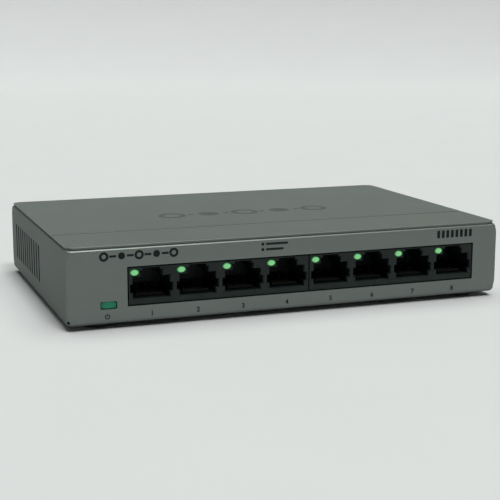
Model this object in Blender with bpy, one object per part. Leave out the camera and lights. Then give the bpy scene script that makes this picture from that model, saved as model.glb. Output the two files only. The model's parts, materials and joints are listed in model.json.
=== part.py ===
"""Eight-port desktop network switch, modelled as the assembly it really is.

A folded steel tray carries a circuit board on four formed bosses. Two ganged
jack blocks stand at the front edge of the board and show through one window of
the tray. A lid with a turned-down flange closes the tray and is held by two
flat-head screws at the rear. Four rubber feet carry the whole.

Sizes are in millimetres, and become metres when a mesh is finished. Places are
case points: x from the left side, y from the front, z from the underside of the
tray. The origin of the scene is under the middle of the case, on the surface
that the feet stand on, with +X to the right, -Y to the front and +Z up.
"""
from math import asin, cos, pi, radians, sin

import bmesh
import bpy
from mathutils import Matrix, Vector

MM = 0.001
GAP = 0.3                   # clearance between pieces that touch
FINE_GAP = 0.15             # clearance round a lamp or a lens in its hole
CUT = 2.0                   # how far a cutter runs past the face it opens
OVERCUT = 0.01              # the same for a shallow groove
LAP = 0.2                   # how deep a formed-on piece runs into its neighbour
SMOOTH_ANGLE = radians(35)

# Case
CASE_W = 158.0
CASE_D = 105.0
CASE_H = 25.8
SHEET = 1.0                 # tray thickness
BASE_BEND = 1.3             # outer radius of the bend from the walls to the base
CORNER_R = 1.2              # outer radius of the upright corners
CORNER_BASE_R = 2.8         # the same at the base, where the sheet is drawn round
CORNER_FLARE_H = 4.0        # height at which the corners reach their upright radius
SHOULDER_R = 0.8            # rounded top edge of the walls
LID_SHEET = 0.8
LID_SETBACK = 0.35          # lid edge behind the outer face of the walls
LID_EDGE_R = 0.3
LID_FLANGE_H = 5.0
LID_CREASE_Y = 25.4         # fine groove across the lid
LID_CREASE_W = 0.7
LID_CREASE_DEPTH = 0.2
LID_CREASE_INSET = 2.0      # the groove stops this far from each side
EAR_X = 30.0                # middle of each front ear, from each side
EAR_HALF_W = 4.0
EAR_REACH = 2.2             # how far an ear stands in from the front wall
EAR_Z = 22.0
EAR_T = 0.8
CORNER_STEPS = 4
BEND_STEPS = 4
LEAST_CORNER_R = 0.2

# Feet
FOOT_H = 1.8
FOOT_R = 5.0
FOOT_INSET_X = 11.5
FOOT_INSET_Y = 8.8
FOOT_EDGE = 0.5

# Board and what carries it
BOARD_T = 1.6
BOARD_TOP = 5.35
BOARD_SIDE_GAP = 3.0
BOARD_FRONT = 2.2
BOARD_BACK = 101.4
BOARD_CORNER = 1.5
BOSS_R = 3.4
BOSS_FLARE = 0.8            # how much wider a boss is at its foot
BOSS_INSET_X = 9.5
BOSS_FRONT_Y = 27.0
BOSS_BACK_Y = 86.0
SCREW_R = 1.25              # shank of every screw
SCREW_HOLE_R = SCREW_R + GAP
BOARD_HOLE_R = 1.7
PAN_HEAD_R = 2.8
PAN_HEAD_H = 1.7
PAN_HEAD_ROUND = 0.6
SCREW_STEPS = 16
CROSS_W = 0.7
CROSS_L = 2.8
CROSS_DEPTH = 0.9

# Jacks
PORTS_PER_BLOCK = 4
PORT_PITCH = 15.875
BLOCK_W = PORTS_PER_BLOCK * PORT_PITCH
BLOCK_GAP = 0.4
BLOCK_LEFT = 20.41
BLOCK_FRONT = 0.2
BLOCK_D = 19.4
BLOCK_BOTTOM = BOARD_TOP + GAP
BLOCK_TOP = 18.35
WINDOW_GAP = 0.25
PORT_DEPTH = 14.8
PORT_FLOOR = 7.7
PORT_HALF_W = 6.15
PORT_BODY_TOP = 14.8
NOTCH_HALF_W = 7.05
NOTCH_LOW = 9.6
NOTCH_HIGH = 12.3
LATCH_HALF_W = 3.55
LATCH_TOP = 16.8
LATCH_TIP_HALF_W = 2.75
LATCH_TIP_TOP = 17.6

# Contact springs of one port: eight wires that rise to the rear from one bar
SPRINGS = 8
SPRING_PITCH = 1.02
SPRING_W = 0.45
SPRING_T = 0.3
SPRING_L = 10.6
SPRING_RISE = 1.25
SPRING_PIVOT_Y = 3.2        # where the springs flex, on the middle of the bar
SPRING_PIVOT_Z = 8.4
BAR_HALF_W = 4.6
BAR_HALF = 0.35

# Port lamps, one at the upper left of each opening
LAMP_OFFSET = -5.65
LAMP_Z = 16.4
LAMP_HALF_W = 1.55
LAMP_HALF_H = 1.1
LAMP_PROUD = 0.1
LAMP_DEPTH = 7.0
LAMP_STEPS = 12
LEAD_ROOT = 1.0             # length of lead inside the barrel
LEAD_W = 0.5
LEAD_SPACING = 1.3
LEAD_DROP_Y = 0.8           # how far behind the block the leads turn down

# Power lamp in the front wall
POWER_X = 13.9
POWER_Z = 6.3
POWER_HOLE_W = 5.6
POWER_HOLE_H = 2.6
POWER_HOLE_R = 0.5
POWER_SETBACK = 0.1         # window behind the outer face of the wall
POWER_FLANGE = 0.6          # how far the flange laps the wall round the hole
POWER_FLANGE_T = 0.6
POWER_FLANGE_LOW = 4.05     # the flange hangs in front of the board edge
POWER_CHIP = (3.0, 1.4, 1.5)

# Side vents
VENTS = 11
VENT_PITCH = 4.7
VENT_FIRST_Y = 46.8
VENT_W = 2.0
VENT_LOW = 5.4
VENT_HIGH = 18.9

# Keyholes in the base
KEYHOLE_X = 24.0            # from each side
KEYHOLE_Y = 55.0
KEYHOLE_HEAD_R = 3.8
KEYHOLE_SLOT_HALF_W = 2.1
KEYHOLE_SLOT_L = 9.0
KEYHOLE_MEET = asin(KEYHOLE_SLOT_HALF_W / KEYHOLE_HEAD_R)
KEYHOLE_STEPS = 20

# Rear wall
DC_X = 20.0
DC_Z = 12.0
DC_HOLE_R = 4.7
DC_NOSE_R = 4.3
DC_NOSE_BACK = 0.1          # nose behind the outer face of the wall
DC_BORE_R = 3.2
DC_BORE_DEPTH = 9.5
DC_BODY_W = 9.2
DC_BODY_D = 13.4
DC_BODY_TOP = 16.6
DC_PIN_R = 1.05
DC_PIN_BACK = 1.0           # pin tip behind the mouth
DC_PIN_TAPER = 0.5
DC_TAIL = 1.2               # how far the pin and the leaf reach out of the body's back
DC_SLOT_HALF_W = 1.5
DC_SLOT_LOW = 6.9
DC_SLOT_INTO_BORE = 0.5
DC_SLOT_BACK = 3.0          # end of the slot behind the mouth
DC_LEAF_BACK = 3.8          # tip of the leaf behind the mouth
DC_LEAF_HALF_W = 1.1
DC_LEAF_T = 0.4
DC_LEAF_FOOT_T = 0.5
DC_LEAF_Z = 7.9             # underside of the leaf, and where it flexes
DC_LEAF_BUMP = 1.5          # top of the bump that presses on a plug
DC_LEAF_BUMP_AT = 2.6       # middle of the bump, from the tip
DC_LEAF_BUMP_HALF = 0.2
DC_LEAF_BUMP_RUN = 2.0      # length of the bump's slope
DC_STEPS = 24
LOCK_X = 138.0
LOCK_Z = 12.5
LOCK_HALF_W = 3.5
LOCK_HALF_H = 1.6
LID_SCREW_X = 50.0          # from each side
LID_SCREW_Z = 14.5
DIMPLE_R = 4.2
DIMPLE_D = 1.1
DIMPLE_TAPER = 0.6
FLAT_HEAD_R = 2.75
FLAT_HEAD_H = 1.5
FLAT_HEAD_RIM = 0.2
LID_TAB_HALF_W = 5.0
LID_TAB_BOTTOM = 10.6
LID_SCREW_L = 5.0

# Underside label
LABEL_W = 62.0
LABEL_D = 30.0
LABEL_T = 0.15
LABEL_CORNER = 1.5
LABEL_Y = 50.0

# Electronics: places are (x, y) on the board, sizes are (width, depth, height)
LEAD_REACH = 1.2            # how far a package lead stands out
LEAD_LAP = 0.2
LEAD_T = 0.5
LEAD_MARGIN = 0.6           # from the end of a package to its first lead
WIDE_LEAD = 0.8
FINE_LEAD = 0.5
PACKAGE_LIFT = 0.4          # underside of a package above its leads' feet
TRANSFORMERS = 4
TRANSFORMER_Y = 31.0
TRANSFORMER_SIZE = (27.0, 11.5, 5.6)
TRANSFORMER_LEADS = 10
SWITCH_CHIP_AT = (84.0, 63.0)
SWITCH_CHIP_SIZE = (16.0, 16.0, 1.5)
SWITCH_CHIP_LEADS = 12
PAD_HALF = 8.0
PAD_CORNER = 0.5
PAD_T = 0.8
SINK_HALF = 15.0
SINK_BASE_H = 2.0
SINK_H = 9.0
FINS = 9
FIN_T = 1.2
SMALL_CHIP_SIZE = (5.0, 4.0, 1.6)
SMALL_CHIP_LEADS = 4
SMALL_CHIPS = {"memory_chip": (112.0, 74.0), "core_regulator": (40.0, 64.0), "io_regulator": (40.0, 80.0)}
# x, y, radius and height of each can
CAPACITORS = {
    "input_capacitor": (33.0, 91.0, 4.0, 11.5),
    "core_capacitor": (52.0, 56.0, 3.15, 8.0),
    "io_capacitor": (52.0, 88.0, 3.15, 8.0),
}
CAN_FOOT = 0.3
CAN_EDGE = 0.4
CAN_GROOVE_Z = 1.6
CAN_GROOVE_HALF = 0.4
INDUCTORS = {"core_inductor": (52.0, 67.0), "io_inductor": (52.0, 78.0)}
INDUCTOR_HALF = 4.0
INDUCTOR_H = 4.0
INDUCTOR_CHAMFER = 0.8
CRYSTAL_AT = (112.0, 63.0)
CRYSTAL_HALF_W = 5.0
CRYSTAL_HALF_D = 1.9
CRYSTAL_R = 1.8
CRYSTAL_H = 3.5
CRYSTAL_FLANGE = 0.4
CRYSTAL_FLANGE_T = 0.5

# Colours, all linear: base colour, roughness, metallic
PAINT = ((0.150, 0.165, 0.155, 1.0), 0.42, 0.35)
BLACK_PLASTIC = ((0.016, 0.020, 0.019, 1.0), 0.45, 0.0)
LAMP_GREEN = ((0.22, 0.80, 0.36, 1.0), 0.25, 0.0)
POWER_GREEN = ((0.03, 0.22, 0.13, 1.0), 0.30, 0.0)
RUBBER = ((0.020, 0.020, 0.021, 1.0), 0.85, 0.0)
ZINC = ((0.55, 0.55, 0.54, 1.0), 0.35, 1.0)
GOLD = ((0.83, 0.62, 0.25, 1.0), 0.28, 1.0)
SOLDER_MASK = ((0.012, 0.110, 0.045, 1.0), 0.40, 0.0)
CHIP_EPOXY = ((0.022, 0.022, 0.024, 1.0), 0.55, 0.0)
ALUMINIUM = ((0.60, 0.61, 0.62, 1.0), 0.40, 1.0)
CAN_SLEEVE = ((0.020, 0.028, 0.060, 1.0), 0.35, 0.0)
FERRITE = ((0.060, 0.058, 0.056, 1.0), 0.65, 0.0)
SILICONE = ((0.33, 0.38, 0.42, 1.0), 0.80, 0.0)
LABEL_FILM = ((0.62, 0.63, 0.62, 1.0), 0.45, 0.0)
NICKEL = ((0.66, 0.62, 0.56, 1.0), 0.25, 1.0)
CLEAR_LED = ((0.75, 0.78, 0.70, 1.0), 0.20, 0.0)


def clear_scene():
    for scene_object in list(bpy.data.objects):
        bpy.data.objects.remove(scene_object)


def make_material(name, look):
    colour, roughness, metallic = look
    material = bpy.data.materials.new(name)
    material.use_nodes = True
    shader = material.node_tree.nodes["Principled BSDF"]
    shader.inputs["Base Color"].default_value = colour
    shader.inputs["Roughness"].default_value = roughness
    shader.inputs["Metallic"].default_value = metallic
    material.diffuse_color = colour
    return material


def case_point(x, y, z):
    """A place in the case, as a point of the scene in metres."""
    return Vector((x - CASE_W / 2, y - CASE_D / 2, z + FOOT_H)) * MM


def add_box(shape, low, high):
    low = Vector(low)
    high = Vector(high)
    place = Matrix.Translation((low + high) / 2) @ Matrix.Diagonal((*(high - low), 1.0))
    bmesh.ops.create_cube(shape, size=1.0, matrix=place)


def add_loft(shape, rings):
    """A closed solid through rings of equally many points, capped at both ends."""
    loops = [[shape.verts.new(point) for point in ring] for ring in rings]
    for lower, upper in zip(loops, loops[1:]):
        for index, vertex in enumerate(lower):
            following = (index + 1) % len(lower)
            shape.faces.new((vertex, lower[following], upper[following], upper[index]))
    shape.faces.new(reversed(loops[0]))
    shape.faces.new(loops[-1])


def add_prism(shape, outline, axis, start, end):
    """An outline extruded along one axis; its two coordinates are the other axes in order."""
    def placed(first, second, along):
        point = [first, second]
        point.insert("XYZ".index(axis), along)
        return point
    add_loft(shape, [[placed(u, v, along) for u, v in outline] for along in (start, end)])


def add_turned(shape, profile, axis, steps, centre=(0.0, 0.0)):
    """A solid turned about an axis, from (radius, height) pairs."""
    rings = []
    for radius, height in profile:
        circle = round_outline(radius, radius, steps, centre)
        ring = []
        for first, second in circle:
            point = [first, second]
            point.insert("XYZ".index(axis), height)
            ring.append(point)
        rings.append(ring)
    add_loft(shape, rings)


def round_outline(half_w, half_h, steps, centre=(0.0, 0.0)):
    turns = [2 * pi * step / steps for step in range(steps)]
    return [(centre[0] + half_w * cos(turn), centre[1] + half_h * sin(turn)) for turn in turns]


def rounded_rectangle(half_w, half_h, radius, centre=(0.0, 0.0), steps=CORNER_STEPS):
    points = []
    for quarter, (side_x, side_y) in enumerate(((1, 1), (-1, 1), (-1, -1), (1, -1))):
        corner_x = centre[0] + side_x * (half_w - radius)
        corner_y = centre[1] + side_y * (half_h - radius)
        for step in range(steps + 1):
            turn = pi / 2 * (quarter + step / steps)
            points.append((corner_x + radius * cos(turn), corner_y + radius * sin(turn)))
    return points


def case_ring(inset, z):
    """The plan outline of the case at one height, drawn in from the outer faces."""
    flare = max(0.0, 1.0 - z / CORNER_FLARE_H)
    corner = CORNER_R + flare * (CORNER_BASE_R - CORNER_R)
    radius = max(corner - inset, LEAST_CORNER_R)
    outline = rounded_rectangle(
        CASE_W / 2 - inset, CASE_D / 2 - inset, radius, (CASE_W / 2, CASE_D / 2))
    return [(x, y, z) for x, y in outline]


def make_piece(name, shape, material, at=(0.0, 0.0, 0.0)):
    """Finishes a shape, drawn about the case point `at`, as an object of the scene."""
    bmesh.ops.recalc_face_normals(shape, faces=shape.faces)
    bmesh.ops.scale(shape, vec=(MM, MM, MM), verts=shape.verts)
    mesh = bpy.data.meshes.new(name)
    shape.to_mesh(mesh)
    shape.free()
    mesh.materials.append(material)
    piece = bpy.data.objects.new(name, mesh)
    piece.location = case_point(*at)
    bpy.context.scene.collection.objects.link(piece)
    smooth(mesh)
    return piece


def smooth(mesh):
    mesh.shade_smooth()
    mesh.set_sharp_from_angle(angle=SMOOTH_ANGLE)


def combine(piece, operation, shape, at=(0.0, 0.0, 0.0), overlapping=False):
    """Unites a shape with a piece, or cuts it out; its own bodies may overlap each other."""
    tool = make_piece(piece.name + "_tool", shape, piece.data.materials[0], at)
    modifier = piece.modifiers.new(operation, "BOOLEAN")
    modifier.operation = operation
    modifier.solver = "EXACT"
    modifier.use_self = overlapping
    modifier.object = tool
    bpy.context.view_layer.update()
    result = bpy.data.meshes.new_from_object(
        piece.evaluated_get(bpy.context.evaluated_depsgraph_get()))
    piece.modifiers.clear()
    piece.data = result
    bpy.data.objects.remove(tool)
    smooth(result)


def copy_piece(piece, name, at):
    """A second piece that shares the mesh of the first."""
    twin = bpy.data.objects.new(name, piece.data)
    twin.location = case_point(*at)
    bpy.context.scene.collection.objects.link(twin)
    return twin


def port_centres():
    centres = []
    for block in range(2):
        left = block_left(block)
        for port in range(PORTS_PER_BLOCK):
            centres.append(left + PORT_PITCH * (port + 0.5))
    return centres


def block_left(block):
    return BLOCK_LEFT + block * (BLOCK_W + BLOCK_GAP)


def board_holes():
    return [(x, y) for x in (BOSS_INSET_X, CASE_W - BOSS_INSET_X) for y in (BOSS_FRONT_Y, BOSS_BACK_Y)]


# Case pieces

def tray_rings():
    rings = []
    for step in range(BEND_STEPS + 1):
        turn = pi / 2 * step / BEND_STEPS
        rings.append(case_ring(BASE_BEND * (1 - sin(turn)), BASE_BEND * (1 - cos(turn))))
    rings.append(case_ring(0.0, CORNER_FLARE_H))
    top = CASE_H - LID_SHEET - GAP
    for step in range(BEND_STEPS):
        turn = pi / 2 * step / (BEND_STEPS - 1)
        rings.append(case_ring(SHOULDER_R * (1 - cos(turn)), top - SHOULDER_R * (1 - sin(turn))))
    rings.append(case_ring(SHEET, top))
    rings.append(case_ring(SHEET, CORNER_FLARE_H))
    inner_bend = BASE_BEND - SHEET
    for step in reversed(range(BEND_STEPS + 1)):
        turn = pi / 2 * step / BEND_STEPS
        inset = SHEET + inner_bend * (1 - sin(turn))
        rings.append(case_ring(inset, SHEET + inner_bend * (1 - cos(turn))))
    return rings


def front_openings(cutter):
    window_right = block_left(1) + BLOCK_W
    add_box(cutter,
            (BLOCK_LEFT - WINDOW_GAP, -CUT, BLOCK_BOTTOM - WINDOW_GAP),
            (window_right + WINDOW_GAP, CUT, BLOCK_TOP + WINDOW_GAP))
    lens_hole = rounded_rectangle(
        POWER_HOLE_W / 2, POWER_HOLE_H / 2, POWER_HOLE_R, (POWER_X, POWER_Z))
    add_prism(cutter, lens_hole, "Y", -CUT, CUT)


def side_openings(cutter):
    for vent in range(VENTS):
        middle = VENT_FIRST_Y + vent * VENT_PITCH
        for side in (0.0, CASE_W):
            add_box(cutter,
                    (side - CUT, middle - VENT_W / 2, VENT_LOW),
                    (side + CUT, middle + VENT_W / 2, VENT_HIGH))


def keyhole_outline(centre_x):
    """A round head hole with a slot that runs to the rear."""
    opening = [(centre_x - KEYHOLE_SLOT_HALF_W, KEYHOLE_Y + KEYHOLE_SLOT_L),
               (centre_x + KEYHOLE_SLOT_HALF_W, KEYHOLE_Y + KEYHOLE_SLOT_L)]
    for step in range(KEYHOLE_STEPS + 1):
        turn = pi / 2 - KEYHOLE_MEET - 2 * (pi - KEYHOLE_MEET) * step / KEYHOLE_STEPS
        opening.append((centre_x + KEYHOLE_HEAD_R * cos(turn), KEYHOLE_Y + KEYHOLE_HEAD_R * sin(turn)))
    return opening


def base_openings(cutter):
    for centre_x in (KEYHOLE_X, CASE_W - KEYHOLE_X):
        add_prism(cutter, keyhole_outline(centre_x), "Z", -CUT, SHEET + CUT)
    for centre_x, centre_y in board_holes():
        add_turned(cutter, ((SCREW_HOLE_R, -CUT), (SCREW_HOLE_R, BOARD_TOP)), "Z",
                   SCREW_STEPS, (centre_x, centre_y))


def rear_openings(cutter):
    add_turned(cutter, ((DC_HOLE_R, CASE_D - CUT), (DC_HOLE_R, CASE_D + CUT)), "Y",
               DC_STEPS, (DC_X, DC_Z))
    lock = rounded_rectangle(LOCK_HALF_W, LOCK_HALF_H, LOCK_HALF_H / 2, (LOCK_X, LOCK_Z))
    add_prism(cutter, lock, "Y", CASE_D - CUT, CASE_D + CUT)
    sink = ((SCREW_HOLE_R, CASE_D - DIMPLE_D - CUT), (SCREW_HOLE_R, CASE_D - FLAT_HEAD_H - GAP / 2),
            (FLAT_HEAD_R + GAP, CASE_D), (FLAT_HEAD_R + GAP, CASE_D + CUT))
    for centre_x in lid_screw_places():
        add_turned(cutter, sink, "Y", SCREW_STEPS, (centre_x, LID_SCREW_Z))


def lid_screw_places():
    return LID_SCREW_X, CASE_W - LID_SCREW_X


def ear_places():
    return EAR_X, CASE_W - EAR_X


def make_tray(paint):
    shape = bmesh.new()
    add_loft(shape, tray_rings())
    tray = make_piece("base_tray", shape, paint)
    formed = bmesh.new()
    boss_top = BOARD_TOP - BOARD_T - GAP
    for centre_x, centre_y in board_holes():
        boss = ((BOSS_R + BOSS_FLARE, SHEET / 2), (BOSS_R, boss_top))
        add_turned(formed, boss, "Z", SCREW_STEPS, (centre_x, centre_y))
    for centre_x in lid_screw_places():
        wall_middle = CASE_D - SHEET / 2
        dimple = ((DIMPLE_R - DIMPLE_TAPER, CASE_D - SHEET - DIMPLE_D), (DIMPLE_R, wall_middle))
        add_turned(formed, dimple, "Y", SCREW_STEPS, (centre_x, LID_SCREW_Z))
    for centre_x in ear_places():
        add_box(formed, (centre_x - EAR_HALF_W, SHEET / 2, EAR_Z),
                (centre_x + EAR_HALF_W, SHEET + EAR_REACH, EAR_Z + EAR_T))
    combine(tray, "UNION", formed)
    openings = bmesh.new()
    front_openings(openings)
    side_openings(openings)
    base_openings(openings)
    rear_openings(openings)
    combine(tray, "DIFFERENCE", openings)


def lid_rings():
    plate_bottom = CASE_H - LID_SHEET
    flange_outer = SHEET + GAP
    flange_inner = flange_outer + LID_SHEET
    flange_bottom = plate_bottom - LID_FLANGE_H
    rings = []
    for step in range(3):
        turn = pi / 2 * step / 2
        inset = LID_SETBACK + LID_EDGE_R * (1 - sin(turn))
        rings.append(case_ring(inset, CASE_H - LID_EDGE_R * (1 - cos(turn))))
    rings.append(case_ring(LID_SETBACK, plate_bottom))
    rings.append(case_ring(flange_outer, plate_bottom))
    rings.append(case_ring(flange_outer, flange_bottom))
    rings.append(case_ring(flange_inner, flange_bottom))
    rings.append(case_ring(flange_inner, plate_bottom))
    return rings


def make_lid(paint):
    shape = bmesh.new()
    add_loft(shape, lid_rings())
    lid = make_piece("top_cover", shape, paint)
    tab_front = CASE_D - SHEET - DIMPLE_D - GAP - LID_SHEET
    flange_bottom = CASE_H - LID_SHEET - LID_FLANGE_H
    tabs = bmesh.new()
    for centre_x in lid_screw_places():
        add_box(tabs,
                (centre_x - LID_TAB_HALF_W, tab_front, LID_TAB_BOTTOM),
                (centre_x + LID_TAB_HALF_W, tab_front + LID_SHEET, flange_bottom + LID_SHEET))
        add_box(tabs,
                (centre_x - LID_TAB_HALF_W, tab_front + LAP, flange_bottom + LAP / 2),
                (centre_x + LID_TAB_HALF_W, CASE_D - SHEET - GAP - LAP, flange_bottom + LID_SHEET - LAP / 2))
    combine(lid, "UNION", tabs, overlapping=True)
    cuts = bmesh.new()
    for centre_x in lid_screw_places():
        add_turned(cuts, ((SCREW_HOLE_R, tab_front - CUT), (SCREW_HOLE_R, CASE_D - CUT)), "Y",
                   SCREW_STEPS, (centre_x, LID_SCREW_Z))
    for centre_x in ear_places():
        add_box(cuts, (centre_x - EAR_HALF_W - GAP, 0.0, flange_bottom - CUT),
                (centre_x + EAR_HALF_W + GAP, SHEET + EAR_REACH + GAP, EAR_Z + EAR_T + GAP))
    crease = ((LID_CREASE_Y - LID_CREASE_W / 2, CASE_H + OVERCUT), (LID_CREASE_Y, CASE_H - LID_CREASE_DEPTH),
              (LID_CREASE_Y + LID_CREASE_W / 2, CASE_H + OVERCUT))
    add_prism(cuts, crease, "X", LID_CREASE_INSET, CASE_W - LID_CREASE_INSET)
    combine(lid, "DIFFERENCE", cuts)


def make_feet(rubber):
    shape = bmesh.new()
    top = FOOT_H - GAP
    profile = ((FOOT_R - FOOT_EDGE, 0.0), (FOOT_R, FOOT_EDGE), (FOOT_R, top))
    add_turned(shape, profile, "Z", DC_STEPS)
    places = {
        "foot_front_left": (FOOT_INSET_X, FOOT_INSET_Y),
        "foot_front_right": (CASE_W - FOOT_INSET_X, FOOT_INSET_Y),
        "foot_rear_left": (FOOT_INSET_X, CASE_D - FOOT_INSET_Y),
        "foot_rear_right": (CASE_W - FOOT_INSET_X, CASE_D - FOOT_INSET_Y),
    }
    first = None
    for name, (x, y) in places.items():
        at = (x, y, -FOOT_H)
        if first is None:
            first = make_piece(name, shape, rubber, at)
        else:
            copy_piece(first, name, at)


def add_cross(shape, axis, face):
    """Two crossed bars that cut a driver recess into a screw head, square to the axis."""
    for half_u, half_v in ((CROSS_L / 2, CROSS_W / 2), (CROSS_W / 2, CROSS_L / 2)):
        bar = [(half_u, half_v), (-half_u, half_v), (-half_u, -half_v), (half_u, -half_v)]
        add_prism(shape, bar, axis, face - CROSS_DEPTH, face + CROSS_DEPTH)


def make_lid_screws(zinc):
    shape = bmesh.new()
    profile = ((SCREW_R, -LID_SCREW_L), (SCREW_R, -FLAT_HEAD_H),
               (FLAT_HEAD_R, -FLAT_HEAD_RIM), (FLAT_HEAD_R, 0.0))
    add_turned(shape, profile, "Y", SCREW_STEPS)
    at = (LID_SCREW_X, CASE_D, LID_SCREW_Z)
    screw = make_piece("cover_screw_left", shape, zinc, at)
    recess = bmesh.new()
    add_cross(recess, "Y", 0.0)
    combine(screw, "DIFFERENCE", recess, at, overlapping=True)
    copy_piece(screw, "cover_screw_right", (CASE_W - LID_SCREW_X, CASE_D, LID_SCREW_Z))


def make_board_screws(zinc):
    shape = bmesh.new()
    seat = BOARD_TOP + GAP
    profile = ((SCREW_R, SHEET / 2 - seat), (SCREW_R, 0.0), (PAN_HEAD_R, 0.0),
               (PAN_HEAD_R, PAN_HEAD_H - PAN_HEAD_ROUND), (PAN_HEAD_R - PAN_HEAD_ROUND, PAN_HEAD_H))
    add_turned(shape, profile, "Z", SCREW_STEPS)
    places = [(x, y, seat) for x, y in board_holes()]
    screw = make_piece("board_screw_1", shape, zinc, places[0])
    recess = bmesh.new()
    add_cross(recess, "Z", PAN_HEAD_H)
    combine(screw, "DIFFERENCE", recess, places[0], overlapping=True)
    for number, place in enumerate(places[1:], start=2):
        copy_piece(screw, f"board_screw_{number}", place)


def make_label(film):
    shape = bmesh.new()
    outline = rounded_rectangle(LABEL_W / 2, LABEL_D / 2, LABEL_CORNER)
    add_prism(shape, outline, "Z", -GAP - LABEL_T, -GAP)
    make_piece("rating_label", shape, film, (CASE_W / 2, LABEL_Y, 0.0))


# Board and jacks

def make_board(solder_mask):
    shape = bmesh.new()
    half_w = CASE_W / 2 - BOARD_SIDE_GAP
    half_d = (BOARD_BACK - BOARD_FRONT) / 2
    centre = (CASE_W / 2, (BOARD_BACK + BOARD_FRONT) / 2)
    outline = rounded_rectangle(half_w, half_d, BOARD_CORNER, centre)
    add_prism(shape, outline, "Z", BOARD_TOP - BOARD_T, BOARD_TOP)
    board = make_piece("main_board", shape, solder_mask)
    holes = bmesh.new()
    for at in board_holes():
        add_turned(holes, ((BOARD_HOLE_R, 0.0), (BOARD_HOLE_R, BOARD_TOP + CUT)), "Z", SCREW_STEPS, at)
    combine(board, "DIFFERENCE", holes)


def port_outline(centre_x):
    """Front outline of one opening: plug body, side notches and stepped latch channel."""
    right = [(PORT_HALF_W, PORT_FLOOR), (PORT_HALF_W, NOTCH_LOW), (NOTCH_HALF_W, NOTCH_LOW),
             (NOTCH_HALF_W, NOTCH_HIGH), (PORT_HALF_W, NOTCH_HIGH), (PORT_HALF_W, PORT_BODY_TOP),
             (LATCH_HALF_W, PORT_BODY_TOP), (LATCH_HALF_W, LATCH_TOP),
             (LATCH_TIP_HALF_W, LATCH_TOP), (LATCH_TIP_HALF_W, LATCH_TIP_TOP)]
    left = [(-x, z) for x, z in reversed(right)]
    return [(centre_x + x, z) for x, z in right + left]


def make_jack_block(name, left, plastic):
    shape = bmesh.new()
    add_box(shape, (left, BLOCK_FRONT, BLOCK_BOTTOM), (left + BLOCK_W, BLOCK_FRONT + BLOCK_D, BLOCK_TOP))
    block = make_piece(name, shape, plastic)
    cavities = bmesh.new()
    lamp_holes = bmesh.new()
    for port in range(PORTS_PER_BLOCK):
        centre = left + PORT_PITCH * (port + 0.5)
        add_prism(cavities, port_outline(centre), "Y", -CUT, BLOCK_FRONT + PORT_DEPTH)
        hole = round_outline(LAMP_HALF_W + FINE_GAP, LAMP_HALF_H + FINE_GAP, LAMP_STEPS,
                             (centre + LAMP_OFFSET, LAMP_Z))
        add_prism(lamp_holes, hole, "Y", -CUT, BLOCK_FRONT + BLOCK_D + CUT)
    combine(block, "DIFFERENCE", cavities)
    combine(block, "DIFFERENCE", lamp_holes)


def make_jack_blocks(plastic):
    for side, name in enumerate(("jack_block_left", "jack_block_right")):
        make_jack_block(name, block_left(side), plastic)


def make_contact_sets(gold):
    """The springs of each port, with their origin where they flex."""
    shape = bmesh.new()
    add_box(shape, (-BAR_HALF_W, -BAR_HALF, -BAR_HALF), (BAR_HALF_W, BAR_HALF, BAR_HALF))
    places = [(centre, SPRING_PIVOT_Y, SPRING_PIVOT_Z) for centre in port_centres()]
    first = make_piece("port_1_contacts", shape, gold, places[0])
    half_t = SPRING_T / 2
    side = [(0.0, -half_t), (SPRING_L, SPRING_RISE - half_t), (SPRING_L, SPRING_RISE + half_t), (0.0, half_t)]
    springs = bmesh.new()
    for spring in range(SPRINGS):
        middle = (spring - (SPRINGS - 1) / 2) * SPRING_PITCH
        add_prism(springs, side, "X", middle - SPRING_W / 2, middle + SPRING_W / 2)
    combine(first, "UNION", springs, places[0])
    for number, place in enumerate(places[1:], start=2):
        copy_piece(first, f"port_{number}_contacts", place)


def make_port_lamps(lamp_green):
    """Green lamps: an oval barrel at the face and two leads that run back and down."""
    shape = bmesh.new()
    oval = round_outline(LAMP_HALF_W, LAMP_HALF_H, LAMP_STEPS)
    add_prism(shape, oval, "Y", -LAMP_PROUD, LAMP_DEPTH)
    centres = [centre + LAMP_OFFSET for centre in port_centres()]
    at = (centres[0], BLOCK_FRONT, LAMP_Z)
    first = make_piece("port_1_lamp", shape, lamp_green, at)
    leads = bmesh.new()
    turn_y = BLOCK_D + LEAD_DROP_Y
    foot_z = BOARD_TOP + GAP - LAMP_Z
    root_y = LAMP_DEPTH - LEAD_ROOT
    side = [(root_y, -LEAD_W / 2), (turn_y, -LEAD_W / 2), (turn_y, foot_z),
            (turn_y + LEAD_W, foot_z), (turn_y + LEAD_W, LEAD_W / 2), (root_y, LEAD_W / 2)]
    for middle in (-LEAD_SPACING / 2, LEAD_SPACING / 2):
        add_prism(leads, side, "X", middle - LEAD_W / 2, middle + LEAD_W / 2)
    combine(first, "UNION", leads, at)
    for number, centre in enumerate(centres[1:], start=2):
        copy_piece(first, f"port_{number}_lamp", (centre, BLOCK_FRONT, LAMP_Z))


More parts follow.
